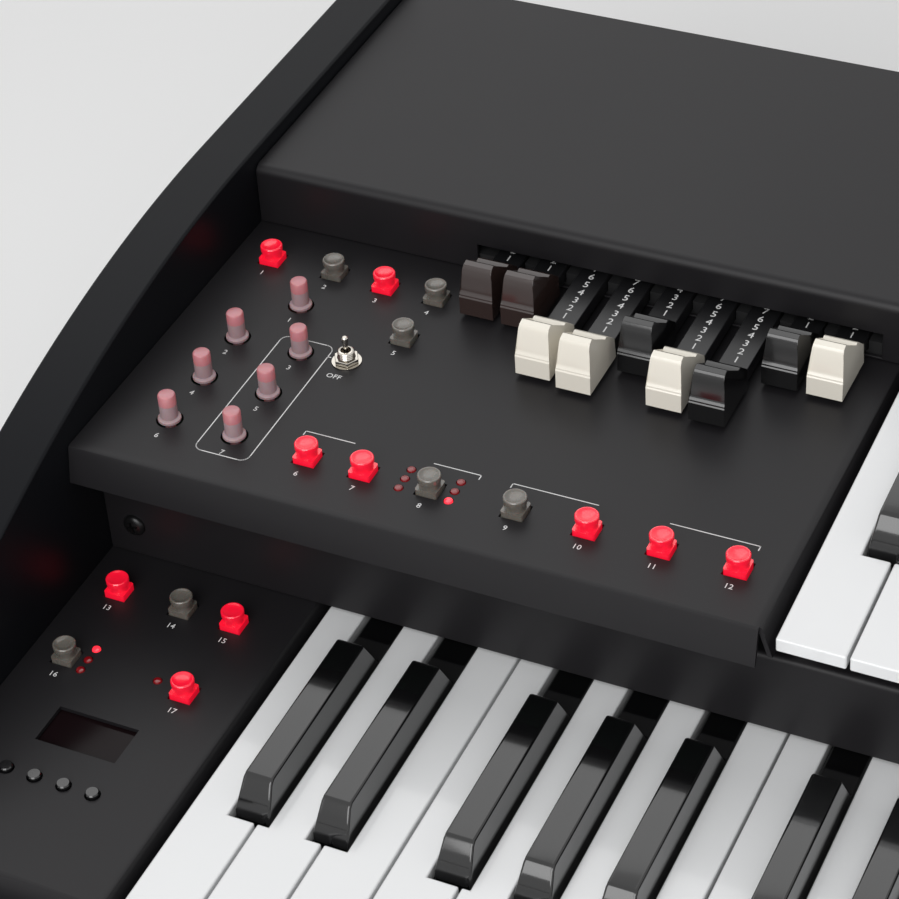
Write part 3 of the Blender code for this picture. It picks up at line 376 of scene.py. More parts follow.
def combined(shapes: Iterable[bmesh.types.BMesh]) -> bmesh.types.BMesh:
    """Put several separate shapes into one bmesh."""
    together = bmesh.new()
    for shape in shapes:
        scratch = to_mesh(shape, "scratch")
        together.from_mesh(scratch)
        bpy.data.meshes.remove(scratch)
    return together


def moved(shape: bmesh.types.BMesh, place: Sequence[float]) -> bmesh.types.BMesh:
    """Shift a bmesh and return it."""
    bmesh.ops.translate(shape, verts=shape.verts, vec=Vector(place))
    return shape


def worked(base: bmesh.types.BMesh, joins: Sequence[bmesh.types.BMesh] = (),
           cuts: Sequence[bmesh.types.BMesh] = ()) -> bpy.types.Mesh:
    """Join shapes to a base, cut others from it, and return the mesh.

    Args:
        base: The shape to start from.
        joins: Shapes that are joined to it.
        cuts: Shapes that are cut from it afterwards.

    Returns:
        The finished mesh, without materials.
    """
    item = bpy.data.objects.new("worked", to_mesh(base, "worked"))
    bpy.context.scene.collection.objects.link(item)
    used = [item]
    for operation, shapes in (("UNION", joins), ("DIFFERENCE", cuts)):
        for shape in shapes:
            tool = bpy.data.objects.new("tool", to_mesh(shape, "tool"))
            bpy.context.scene.collection.objects.link(tool)
            used.append(tool)
            change = item.modifiers.new(operation.lower(), "BOOLEAN")
            change.operation = operation
            change.solver = "EXACT"
            change.object = tool
    graph = bpy.context.evaluated_depsgraph_get()
    mesh = bpy.data.meshes.new_from_object(item.evaluated_get(graph))
    for done in used:
        bpy.data.objects.remove(done, do_unlink=True)
    return mesh


@dataclass
class Case:
    """The cheeks, hood, fascia and the plain sheets that close the console."""

    thickness: float = 0.020
    top: float = 0.090
    bottom: float = -0.078
    front: float = -0.172
    back: float = 0.262
    arch: float = 0.480
    flat_start: float = 0.118
    nose: float = 0.018
    corner: float = 0.012
    cheek_edge: float = 0.0012
    hood_front: float = 0.120
    hood_top: float = 0.084
    hood_radius: float = 0.0035
    hood_back_gap: float = 0.003
    key_opening_left: float = 0.1635
    key_opening_top: float = 0.069
    slot: tuple[float, float, float, float] = (0.0045, 0.1535, 0.0612, 0.071)
    sheet_edge: float = 0.0003
    fascia: float = -0.004
    fascia_thickness: float = 0.002
    fascia_low: float = 0.0033
    fascia_top: float = 0.035
    fascia_lip: float = 0.016
    screw_height: float = 0.0167
    screw_places: tuple[float, float] = (-0.072, 0.837)
    screw_gap: float = 0.00005
    screw_turn: float = math.radians(20)
    screw_profile: tuple[Point2, ...] = ((0, 0), (0.0041, 0), (0.0041, 0.0006), (0.0037, 0.0013),
                                         (0.0027, 0.0018), (0.0014, 0.0021), (0, 0.0022))
    recess_arm: float = 0.0022
    recess_half: float = 0.00045
    recess_low: float = 0.0009
    recess_high: float = 0.004

    def cheek_outline(self) -> list[Point2]:
        """Return the cheek's side view, with the arched top and the round nose."""
        centre_z = self.top - self.arch
        nose_y = self.front + self.nose
        across = nose_y - self.flat_start
        nose_z = centre_z + math.sqrt((self.arch - self.nose) ** 2 - across ** 2)
        meeting = math.degrees(math.atan2(nose_z - centre_z, across))
        outline = arc((self.back - self.corner, self.top - self.corner), self.corner, 0, 90, 12)
        outline += arc((self.flat_start, centre_z), self.arch, 90, meeting, 64)
        outline += arc((nose_y, nose_z), self.nose, meeting, 180, 16)[1:]
        return outline + [(self.front, self.bottom), (self.back, self.bottom)]

    def build_cheeks(self) -> None:
        """Build both cheeks."""
        left_faces = {"left_cheek": INSIDE[0] - GAP - self.thickness, "right_cheek": INSIDE[1] + GAP}
        for name, low in left_faces.items():
            shape = prism(self.cheek_outline(), low, low + self.thickness, Axis.X)
            piece(name + "_board", shape, LACQUER, edge=self.cheek_edge, replaces=[name], segments=3)

    def build_hood(self) -> None:
        """Build the folded hood with its drawbar slot and its opening over the upper keys."""
        outer = self.hood_radius
        inner = outer - SHEET
        back = self.back - self.hood_back_gap
        bend = (self.hood_front + outer, self.hood_top - outer)
        outline = [(self.hood_front, UPPER_TOP + GAP)]
        outline += arc(bend, outer, 180, 90, 10)
        outline += [(back, self.hood_top), (back, self.hood_top - SHEET)]
        outline += arc(bend, inner, 90, 180, 10)
        outline += [(self.hood_front + SHEET, UPPER_TOP + GAP)]
        left, right, low, high = self.slot
        before = self.hood_front - SHEET
        behind = self.hood_front + 2 * SHEET
        cuts = [block((left, before, low), (right, behind, high)),
                block((self.key_opening_left, before, UPPER_TOP - SHEET),
                      (INSIDE[1] + SHEET, behind, self.key_opening_top))]
        mesh = worked(prism(outline, *INSIDE, Axis.X), cuts=[combined(cuts)])
        piece("hood_sheet", mesh, POWDER_COAT, edge=self.sheet_edge, replaces=["top_hood"])

    def build_fascia(self) -> None:
        """Build the folded fascia between the manuals."""
        thick = self.fascia_thickness
        fold = self.fascia_top - thick
        inner = self.fascia + thick
        outline = [(self.fascia, self.fascia_low), (inner, self.fascia_low), (inner, fold),
                   (self.fascia_lip, fold), (self.fascia_lip, self.fascia_top)]
        outline += arc((inner, fold), thick, 90, 180, 8)
        piece("fascia_sheet", prism(outline, *INSIDE, Axis.X), POWDER_COAT, edge=self.sheet_edge,
              replaces=["upper_key_slip"])

    def build_screws(self) -> None:
        """Build the fascia's cross-recess screws."""
        arm = self.recess_arm
        half = self.recess_half
        for number, x in enumerate(self.screw_places):
            cross = [block((-across, -along, self.recess_low), (across, along, self.recess_high))
                     for across, along in ((arm, half), (half, arm))]
            mesh = worked(turned(self.screw_profile), cuts=cross)
            mesh.transform(Matrix.Rotation(self.screw_turn, 4, "Z"))
            mesh.transform(Matrix.Rotation(math.pi / 2, 4, "X"))
            piece(f"fascia_screw_{number + 1}", mesh, BLACK_SCREW,
                  place=(x, self.fascia - self.screw_gap, self.screw_height))

    def dress(self) -> None:
        """Give the CAD nodes whose shape stays their finishes."""
        finishes = {
            "base_pan": ZINC, "back_panel": POWDER_COAT, "lower_right_panel": POWDER_COAT,
            "front_key_slip": POWDER_COAT, "left_foot_runner": RUBBER, "right_foot_runner": RUBBER,
            "lower_key_frame": FRAME_NYLON, "upper_key_frame": FRAME_NYLON, "drawbar_housing": FRAME_NYLON,
            "main_board": LAMINATE, "display_window": SMOKED, "power_inlet": NYLON, "power_rocker": NYLON,
            "jack_block": NYLON,
        }
        for name, finish in finishes.items():
            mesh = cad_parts[name].data
            mesh.materials.clear()
            mesh.materials.append(finish.make())

    def build(self) -> None:
        """Build and dress the case."""
        self.build_cheeks()
        self.build_hood()
        self.build_fascia()
        self.build_screws()
        self.dress()


@dataclass
class Panel:
    """A folded control panel with its holes."""

    name: str
    node: str
    left: float
    right: float
    front: float
    back: float
    top: float
    flange_drop: float
    flange_spread: float
    skirt_drop: float
    skirt_spread: float
    bend: float = 0.0012
    bend_back: float = 0.00072
    bend_drop: float = 0.0003
    bend_out: float = 0.00042
    overlap: float = 0.00105
    overlap_drop: float = 0.00135
    hole_half: float = 0.00425
    edge: float = 0.00015
    squares: list[Point2] = field(default_factory=list)
    rounds: list[tuple[float, float, float]] = field(default_factory=list)
    windows: list[tuple[float, float, float, float]] = field(default_factory=list)
    flange_back: float = 0.0

    def skirt(self, edge: float, sign: int, drop: float, spread: float) -> list[Point2]:
        """Return the outline of a sloping flange that hangs from an edge with a small bend.

        Args:
            edge: Where the flat sheet ends.
            sign: 1 where the flange faces up its axis, -1 where it faces down.
            drop: How far the flange hangs below the sheet.
            spread: How far its foot stands out from the edge.

        Returns:
            The points of its closed outline.
        """
        points = [(-2 * SHEET, -self.overlap_drop), (-2 * SHEET, 0.0), (-self.bend_back, 0.0),
                  (0.0, -self.bend_drop), (self.bend_out, -self.bend), (spread, -drop),
                  (spread - SHEET, -drop), (-self.overlap, -SHEET)]
        return [(edge + sign * out, self.top + up) for out, up in points]

    def build(self) -> None:
        """Build the panel sheet, with square holes, round holes and windows."""
        low = self.top - 3 * SHEET
        high = self.top + SHEET
        flat_front = self.front + self.bend_back
        flat_right = self.right - self.bend_back
        sheet = block((self.left, flat_front, self.top - SHEET), (flat_right, self.back, self.top))
        skirt = prism(self.skirt(self.front, -1, self.skirt_drop, self.skirt_spread), self.left,
                      flat_right, Axis.X)
        flange = prism(self.skirt(self.right, 1, self.flange_drop, self.flange_spread), flat_front,
                       self.flange_back or self.back, Axis.Y)
        half = self.hole_half
        cuts = [block((x - half, y - half, low), (x + half, y + half, high)) for x, y in self.squares]
        cuts += [moved(turned([(0, low), (r, low), (r, high), (0, high)], 32), (x, y, 0))
                 for x, y, r in self.rounds]
        cuts += [block((x0, y0, low), (x1, y1, high)) for x0, x1, y0, y1 in self.windows]
        mesh = worked(sheet, [skirt, flange], [combined(cuts)])
        piece(self.name, mesh, POWDER_COAT, edge=self.edge, replaces=[self.node])


@dataclass
class Manual:
    """One manual: each key is its own piece, and rides on its comb."""

    name: str
    left: float
    axis_y: float
    axis_z: float
    tilt: float
    count: int = 29
    octaves: int = 4
    naturals_per_octave: int = 7
    length: float = 0.1724
    thickness: float = 0.0055
    depth: float = 0.0062
    notch: float = 0.0435
    notch_width: float = 0.0144
    rail_back: float = 0.004
    sharp_places: tuple[float, ...] = (0.88, 2.05, 3.83, 4.96, 6.10)
    sharp_base: float = 0.0128
    sharp_top: float = 0.0098
    sharp_height: float = 0.0112
    sharp_front: float = 0.046
    sharp_end: float = 0.125
    front_slope: float = 0.0055
    front_round: float = 0.0020
    crown_drop: float = 0.0012
    back_slope: float = 0.007
    tail_drop: float = 0.002
    natural_edge: float = 0.0007
    sharp_edge: float = 0.0009

    def centres(self) -> list[float]:
        """Return the middle of each sharp."""
        return [(octave * self.naturals_per_octave + place) * KEY_PITCH
                for octave in range(self.octaves) for place in self.sharp_places]

    def natural(self, index: int) -> bmesh.types.BMesh:
        """Return one natural, notched on each side that has a sharp."""
        left = index * KEY_PITCH + KEY_GAP / 2
        right = (index + 1) * KEY_PITCH - KEY_GAP / 2
        front = -self.length
        notch = front + self.notch
        half = self.notch_width / 2
        outline = [(left, front), (right, front)]
        before = [c + half for c in self.centres() if c - half < left < c + half]
        after = [c - half for c in self.centres() if c - half < right < c + half]
        if after:
            outline += [(right, notch), (after[0], notch), (after[0], self.rail_back)]
        else:
            outline.append((right, self.rail_back))
        if before:
            outline += [(before[0], self.rail_back), (before[0], notch), (left, notch)]
        else:
            outline.append((left, self.rail_back))
        return prism(outline, self.depth - self.thickness, self.depth, Axis.Z)

    def sharp(self, centre: float) -> bmesh.types.BMesh:
        """Return one sharp, which narrows upwards and slopes at its front and back."""
        front = -self.length + self.sharp_front
        back = -self.length + self.sharp_end
        top = self.depth
        high = top + self.sharp_height
        low = top - self.thickness
        crown = front + self.front_slope
        tail = top - self.tail_drop
        side = [(front, low), (front, top), (crown, high - self.crown_drop),
                (crown + self.front_round, high), (back - self.back_slope, high), (back, tail),
                (self.rail_back, tail), (self.rail_back, low)]
        slope = (self.sharp_base - self.sharp_top) / 2 / self.sharp_height
        return bridged([[(centre + sign * (self.sharp_base / 2 - slope * max(0.0, z - top)), y, z)
                         for y, z in side] for sign in (-1, 1)])

    def build(self) -> None:
        """Build every key of the manual."""
        place = (self.left, self.axis_y, self.axis_z)
        naturals = self.name + "_naturals"
        sharps = self.name + "_sharps"
        for index in range(self.count):
            piece(f"{self.name}_natural_{index + 1}", self.natural(index), WHITE_KEY, naturals, place,
                  self.tilt, edge=self.natural_edge, replaces=[naturals], segments=3)
        for index, centre in enumerate(self.centres()):
            piece(f"{self.name}_sharp_{index + 1}", self.sharp(centre), BLACK_KEY, sharps, place,
                  self.tilt, edge=self.sharp_edge, replaces=[sharps], segments=3)


@dataclass
class Drawbars:
    """The nine drawbars with their numbered stems."""

    first: float = 0.010
    pitch: float = 0.0158
    width: float = 0.0126
    crown_width: float = 0.0105
    shoulder: float = 0.0093
    knob_edge: float = 0.0006
    length: float = 0.095
    home: float = 0.0965
    step: float = 0.0048
    stem_width: float = 0.0106
    stem_front: float = 0.0228
    stem_low: float = 0.002
    stem_height: float = 0.0055
    stem_edge: float = 0.0004
    numbers: int = 8
    digit_size: float = 0.0046
    digit_start: float = 0.0286
    pulled: tuple[float, ...] = (0.9, 1.0, 5.9, 6.4, 3.1, 6.0, 6.4, 0.9, 0.9)
    profile: tuple[Point2, ...] = ((0.0, 0.0017), (0.0, 0.0088), (0.0004, 0.0093), (0.0004, 0.0097),
                                   (0.0009, 0.0104), (0.0013, 0.0112), (0.0020, 0.0195), (0.0030, 0.0209),
                                   (0.0050, 0.0215), (0.0062, 0.0208), (0.0105, 0.0131), (0.0113, 0.0128),
                                   (0.0122, 0.0131), (0.0148, 0.0147), (0.0158, 0.0149), (0.0168, 0.0145),
                                   (0.0220, 0.0100), (0.0230, 0.0017))

    def finishes(self) -> list[Finish]:
        """Return the knobs' colours in order."""
        return [BROWN_KNOB, BROWN_KNOB, IVORY_KNOB, IVORY_KNOB, BLACK_KNOB, IVORY_KNOB, BLACK_KNOB,
                BLACK_KNOB, IVORY_KNOB]

    def knob(self) -> bmesh.types.BMesh:
        """Return a knob whose sides narrow from the shoulder to the crown."""
        crown = max(z for _, z in self.profile)
        slope = (self.width - self.crown_width) / 2 / (crown - self.shoulder)
        return bridged([[(sign * (self.width / 2 - slope * max(0.0, z - self.shoulder)), y, z)
                         for y, z in self.profile] for sign in (-1, 1)], split_ends=True)

    def build(self) -> None:
        """Build each drawbar: knob, stem and numbers."""
        for index, finish in enumerate(self.finishes()):
            node = f"drawbar_{index + 1}"
            middle = self.first + index * self.pitch + self.width / 2
            place = (middle, self.home - self.pulled[index] * self.step, UPPER_TOP)
            piece(node + "_knob", self.knob(), finish, node, place, edge=self.knob_edge,
                  replaces=[node], segments=3)
            half = self.stem_width / 2
            top = self.stem_low + self.stem_height
            stem = block((-half, self.stem_front, self.stem_low), (half, self.length, top))
            piece(node + "_stem", stem, BAR_PLASTIC, node, place, edge=self.stem_edge, replaces=[node])
            digits = "\n".join(str(self.numbers - row) for row in range(self.numbers))
            printed = text_mesh(digits, self.digit_size, self.step)
            highest = self.digit_start + (self.numbers - 1) * self.step
            printed.transform(Matrix.Translation((0, highest, top)))
            piece(node + "_numbers", printed, INK, node, place)


def text_mesh(words: str, size: float, spacing: float = 0.0) -> bpy.types.Mesh:
    """Return flat printed characters as a thin mesh, centred in X and on their first line in Y.

    Args:
        words: The characters; a new line starts a new row.
        size: Their size in metres.
        spacing: The distance between rows, in metres.

    Returns:
        The mesh.
    """
    curve = bpy.data.curves.new("print", "FONT")
    curve.body = words
    curve.size = size
    curve.align_x = "CENTER"
    curve.align_y = "TOP_BASELINE"
    curve.resolution_u = 2
    curve.extrude = PRINT_HALF_DEPTH
    if spacing:
        curve.space_line = spacing / size
    item = bpy.data.objects.new("print", curve)
    bpy.context.scene.collection.objects.link(item)
    graph = bpy.context.evaluated_depsgraph_get()
    mesh = bpy.data.meshes.new_from_object(item.evaluated_get(graph))
    mesh.materials.clear()
    mesh.transform(Matrix.Translation((0, -size * MIDDLE_SHARE, PRINT_LIFT)))
    bpy.data.objects.remove(item, do_unlink=True)
    return mesh


def ribbon(points: Sequence[Point2], width: float) -> bmesh.types.BMesh:
    """Return a thin printed line through points, with square joints."""
    shapes = []
    for start, end in zip(points, points[1:]):
        along = Vector((end[0] - start[0], end[1] - start[1]))
        side = Vector((-along.y, along.x)).normalized() * width / 2
        reach = along.normalized() * width / 2
        a = Vector(start) - reach
        b = Vector(end) + reach
        outline = [tuple(a + side), tuple(a - side), tuple(b - side), tuple(b + side)]
        shapes.append(prism(outline, LINE_LOW, LINE_HIGH, Axis.Z))
    return combined(shapes)


@dataclass
class Buttons:
    """The push buttons: a rounded square stem under a round dished cap."""

    stem: float = 0.0077
    stem_radius: float = 0.0009
    stem_low: float = -0.008
    stem_high: float = 0.0019
    cap: tuple[Point2, ...] = ((0, 0.0018), (0.00368, 0.0018), (0.00368, 0.0040), (0.00385, 0.0043),
                               (0.00395, 0.0046), (0.00395, 0.0062), (0.0037, 0.0065), (0.00335, 0.0065),
                               (0.00285, 0.00615), (0.00158, 0.0060), (0, 0.00595))

    def cap_mesh(self) -> bmesh.types.BMesh:
        """Return one button."""
        radius = self.stem_radius
        middle = self.stem / 2 - radius
        outline: list[Point2] = []
        for x, y, start in ((1, 1, 0), (-1, 1, 90), (-1, -1, 180), (1, -1, 270)):
            outline += arc((x * middle, y * middle), radius, start, start + 90, 5)
        return combined([prism(outline, self.stem_low, self.stem_high, Axis.Z), turned(self.cap)])

    def build(self) -> None:
        """Build every button, lit or dark."""
        finishes = {Glow.LIT: LIT_CAP, Glow.DARK: DARK_CAP}
        meshes = {glow: to_mesh(self.cap_mesh(), "cap_" + glow.value) for glow in finishes}
        for places, top in ((UPPER_BUTTONS, UPPER_TOP), (LOWER_BUTTONS, LOWER_TOP)):
            for name, (x, y, glow) in places.items():
                piece(name + "_cap", meshes[glow], finishes[glow], name, (x, y, top), replaces=[name])


@dataclass
class Knobs:
    """The small turning knobs: a frosted shaft on a collar, with a brighter tip."""

    radius: float = 0.00305
    height: float = 0.011
    tip_low: float = 0.00682
    tip_gap: float = 0.00005
    spindle: tuple[Point2, ...] = ((0, -0.008), (0.00183, -0.008), (0.00183, 0.0002))
    collar: tuple[Point2, ...] = ((0.004, 0.0002), (0.004, 0.001), (0.0037, 0.0013))
    shaft_low: float = 0.0016
    side_drop: float = 0.0007
    round_in: float = 0.0003
    round_drop: float = 0.0002
    crown_in: float = 0.0008

    def build(self) -> None:
        """Build every knob."""
        shaft = [*self.spindle, *self.collar, (self.radius, self.shaft_low), (self.radius, self.tip_low),
                 (0, self.tip_low)]
        low = self.tip_low + self.tip_gap
        tip = [(0, low), (self.radius, low), (self.radius, self.height - self.side_drop),
               (self.radius - self.round_in, self.height - self.round_drop),
               (self.radius - self.crown_in, self.height), (0, self.height)]
        shaft_mesh = to_mesh(turned(shaft), "knob_shaft")
        tip_mesh = to_mesh(turned(tip), "knob_tip")
        for name, (x, y) in KNOBS.items():
            place = (x, y, UPPER_TOP)
            piece(name + "_shaft", shaft_mesh, FROSTED, name, place, replaces=[name])
            piece(name + "_tip", tip_mesh, FROSTED_TIP, name, place, replaces=[name])


@dataclass
class Boards:
    """The lamps, the menu buttons and the boards that carry them."""

    lamp: tuple[Point2, ...] = ((0, -0.006), (0.0015, -0.006), (0.0015, 0.0), (0.0013, 0.0004),
                                (0.0008, 0.0006), (0, 0.0006))
    lamp_segments: int = 20
    menu_button: tuple[Point2, ...] = ((0, -0.013), (0.0023, -0.013), (0.0023, 0.0011), (0.0020, 0.0015),
                                       (0, 0.0015))
    menu_segments: int = 24
    upper: tuple[Point3, Point3] = ((-0.078, -0.012, 0.047), (0.155, 0.108, 0.0486))
    lower: tuple[Point3, Point3] = ((-0.080, -0.140, -0.012), (-0.006, -0.008, -0.0104))

    def build(self) -> None:
        """Build the lamps, the boards and the menu buttons."""
        finishes = {Glow.LIT: LAMP_LIT, Glow.DARK: LAMP_DARK}
        for side, lamps, top in (("upper", UPPER_LAMPS, UPPER_TOP), ("lower", LOWER_LAMPS, LOWER_TOP)):
            for number, (x, y, glow) in enumerate(lamps):
                piece(f"{side}_lamp_{number + 1}", turned(self.lamp, self.lamp_segments), finishes[glow],
                      place=(x, y, top))
        for side, corners in (("upper", self.upper), ("lower", self.lower)):
            piece(side + "_board_sheet", block(*corners), LAMINATE, replaces=[side + "_control_board"])
        for number, (x, y) in enumerate(MENU_BUTTONS):
            piece(f"menu_button_{number + 1}", turned(self.menu_button, self.menu_segments), BLACK_KNOB,
                  place=(x, y, LOWER_TOP))


@dataclass
class ToggleSwitch:
    """The toggle switch: washer, hex nut, threaded bushing and lever."""

    washer: tuple[Point2, ...] = ((0.0033, 0.0001), (0.0052, 0.0001), (0.0052, 0.0005), (0.0033, 0.0005),
                                  (0.0033, 0.0001))
    washer_segments: int = 40
    nut: tuple[Point2, ...] = ((0, 0.0006), (0.0046, 0.0006), (0.0046, 0.0023), (0, 0.0023))
    nut_sides: int = 6
    nut_bore: tuple[Point2, ...] = ((0, -0.01), (0.00305, -0.01), (0.00305, 0.01), (0, 0.01))
    nut_edge: float = 0.00025
    root: float = 0.0028
    root_low: float = -0.004
    crest: float = 0.003
    thread_low: float = -0.0035
    thread_pitch: float = 0.0007
    thread_turns: int = 12
    mouth: tuple[Point2, ...] = ((0.0028, 0.0048), (0.0025, 0.005), (0.0019, 0.005), (0.0017, 0.0013),
                                 (0, 0.0013))
    lever: tuple[Point2, ...] = ((0, 0.0017), (0.0008, 0.0017), (0.0008, 0.0055), (0.0010, 0.0078),
                                 (0.0012, 0.0094), (0.0011, 0.0101), (0.0007, 0.0105), (0, 0.0105))
    lever_segments: int = 24

    def bushing(self) -> list[Point2]:
        """Return the bushing's profile, with its thread as plain rings."""
        profile = [(0, self.root_low), (self.root, self.root_low)]
        for turn in range(self.thread_turns):
            low = self.thread_low + turn * self.thread_pitch
            profile += [(self.root, low), (self.crest, low + self.thread_pitch / 2)]
        return profile + list(self.mouth)

    def build(self) -> None:
        """Build the switch's four pieces."""
        place = (*TOGGLE, UPPER_TOP)
        piece("toggle_washer", turned(self.washer, self.washer_segments), NICKEL, place=place)
        nut = worked(turned(self.nut, self.nut_sides), cuts=[turned(self.nut_bore)])
        piece("toggle_nut", nut, NICKEL, place=place, edge=self.nut_edge)
        piece("toggle_bushing", turned(self.bushing()), NICKEL, place=place)
        piece("toggle_bat", turned(self.lever, self.lever_segments), NICKEL, "toggle_lever", place,
              replaces=["toggle_lever"])


@dataclass
class Print:
    """The white print on the panels: numbers, OFF, the outline round three knobs and the brackets."""

    character: float = 0.0032
    button_drop: float = 0.0085
    knob_drop: float = 0.0090
    off_place: Point2 = (-0.0165, 0.0465)
    line: float = 0.00035
    box_left: float = -0.0432
    box_right: float = -0.0233
    box_front: float = -0.0048
    box_back: float = 0.0612
    box_radius: float = 0.003
    link_gap: float = 0.0062
    bracket_row: float = 0.0167
    bracket_drop: float = 0.002
    brackets: tuple[Point2, ...] = ((-0.0119, 0.0062), (0.0352, 0.0521), (0.0633, 0.0931),
                                    (0.1177, 0.1478))

    def build_numbers(self) -> None:
        """Print a plain number by each control, and OFF by the toggle switch."""
        number = 0
        for places, top in ((UPPER_BUTTONS, UPPER_TOP), (LOWER_BUTTONS, LOWER_TOP)):
            for x, y, _ in places.values():
                number += 1
                mesh = text_mesh(str(number), self.character)
                piece(f"button_number_{number}", mesh, INK, place=(x, y - self.button_drop, top))
        for index, (x, y) in enumerate(KNOBS.values()):
            mesh = text_mesh(str(index + 1), self.character)
            piece(f"knob_number_{index + 1}", mesh, INK, place=(x, y - self.knob_drop, UPPER_TOP))
        piece("toggle_off_mark", text_mesh("OFF", self.character), INK, place=(*self.off_place, UPPER_TOP))

    def build_lines(self) -> None:
        """Print the outline round three knobs, its link to the toggle, and the brackets."""
        radius = self.box_radius
        left = self.box_left + radius
        right = self.box_right - radius
        front = self.box_front + radius
        back = self.box_back - radius
        box: list[Point2] = []
        for x, y, start in ((right, front, 0), (left, front, -90), (left, back, 180), (right, back, 90)):
            box += arc((x, y), radius, start, start - 90, 6)
        box.append(box[0])
        link = [(self.box_right, TOGGLE[1]), (TOGGLE[0] - self.link_gap, TOGGLE[1])]
        lines = {"knob_outline": box, "toggle_link": link}
        for number, (start, end) in enumerate(self.brackets):
            points = [(start, self.bracket_row), (end, self.bracket_row)]
            if number % 2:
                points.append((end, self.bracket_row - self.bracket_drop))
            else:
                points.insert(0, (start, self.bracket_row - self.bracket_drop))
            lines[f"bracket_{number + 1}"] = points
        for name, points in lines.items():
            piece(name, ribbon(points, self.line), INK, place=(0, 0, UPPER_TOP))

    def build(self) -> None:
        """Print everything."""
        self.build_numbers()
        self.build_lines()


@dataclass(frozen=True)
class SoftLamp:
    """One large square studio lamp."""

    name: str
    place: Point3
    size: float
    power: float


@dataclass
class Studio:
    """The floor, the soft lights and the camera."""

    azimuth: float = 27.257
    elevation: float = 39.445
    roll: float = 3.997
    place: Point3 = (-0.02115, -0.65012, 0.72723)
    lens: float = 111.92
    sensor: float = 36.0
    near: float = 0.01
    floor_reach: float = 6.0
    floor_drop: float = 0.0002
    floor_roughness: float = 0.6
    world_level: float = 0.42
    lamps: tuple[SoftLamp, ...] = (SoftLamp("key_lamp", (-0.2, -1.5, 1.25), 1.4, 26.0),
                                   SoftLamp("back_lamp", (-0.9, 0.7, 1.5), 1.2, 5.0))
    aim: Point3 = (-0.2, 0.0, 0.1)

    def build_camera(self) -> None:
        """Place the camera at the photograph's angle."""
        azimuth = math.radians(self.azimuth)
        elevation = math.radians(self.elevation)
        roll = math.radians(self.roll)
        along = math.cos(elevation)
        forward = Vector((-math.sin(azimuth) * along, math.cos(azimuth) * along, -math.sin(elevation)))
        level = Vector((math.cos(azimuth), math.sin(azimuth), 0.0))
        down = forward.cross(level)
        right = math.cos(roll) * level + math.sin(roll) * down
        up = math.sin(roll) * level - math.cos(roll) * down
        data = bpy.data.cameras.new("camera")
        data.lens = self.lens
        data.sensor_width = self.sensor
        data.clip_start = self.near
        camera = bpy.data.objects.new("camera", data)
        bpy.context.scene.collection.objects.link(camera)
        turn = Matrix((right, up, -forward)).transposed()
        camera.matrix_world = Matrix.Translation(self.place) @ turn.to_4x4()
        bpy.context.scene.camera = camera

    def build_floor(self) -> None:
        """Lay a plain pale floor under the console."""
        size = self.floor_reach
        shape = bmesh.new()
        shape.faces.new([shape.verts.new((x * size, y * size, 0)) for x, y in ((-1, -1), (1, -1), (1, 1),
                                                                              (-1, 1))])
        floor = bpy.data.objects.new("studio_floor", to_mesh(shape, "studio_floor"))
        floor.location.z = -self.floor_drop
        bpy.context.scene.collection.objects.link(floor)
        made = bpy.data.materials.new("pale_floor")
        made.use_nodes = True
        shader = made.node_tree.nodes["Principled BSDF"]
        shader.inputs["Base Color"].default_value = linear("#f2f2f2")
        shader.inputs["Roughness"].default_value = self.floor_roughness
        floor.data.materials.append(made)

    def build_world(self) -> None:
        """Set a white background for what looks and mirrors, and a softer one for what lights."""
        world = bpy.data.worlds.new("studio")
        world.use_nodes = True
        bpy.context.scene.world = world
        tree = world.node_tree
        background = tree.nodes["Background"]
        path = add_node(tree, "ShaderNodeLightPath")
        mirrored = add_node(tree, "ShaderNodeMath", {0: path.outputs["Is Glossy Ray"],
                                                     1: path.outputs["Is Transmission Ray"]},
                            operation="MAXIMUM")
        seen = add_node(tree, "ShaderNodeMath", {0: path.outputs["Is Camera Ray"],
                                                 1: mirrored.outputs[0]}, operation="MAXIMUM")
        level = add_node(tree, "ShaderNodeMapRange", {"Value": seen.outputs[0],
                                                      "To Min": self.world_level, "To Max": 1.0})
        background.inputs["Color"].default_value = (1.0, 1.0, 1.0, 1.0)
        tree.links.new(level.outputs["Result"], background.inputs["Strength"])

    def build_lights(self) -> None:
        """Hang the soft lamps."""
        for lamp in self.lamps:
            data = bpy.data.lights.new(lamp.name, "AREA")
            data.shape = "SQUARE"
            data.size = lamp.size
            data.energy = lamp.power
            item = bpy.data.objects.new(lamp.name, data)
            item.location = lamp.place
            facing = Vector(self.aim) - Vector(lamp.place)
            item.rotation_euler = facing.to_track_quat("-Z", "Y").to_euler()
            bpy.context.scene.collection.objects.link(item)

    def build(self) -> None:
        """Build the whole studio."""
        self.build_camera()
        self.build_floor()
        self.build_world()
        self.build_lights()
        bpy.context.scene.view_settings.view_transform = "Standard"


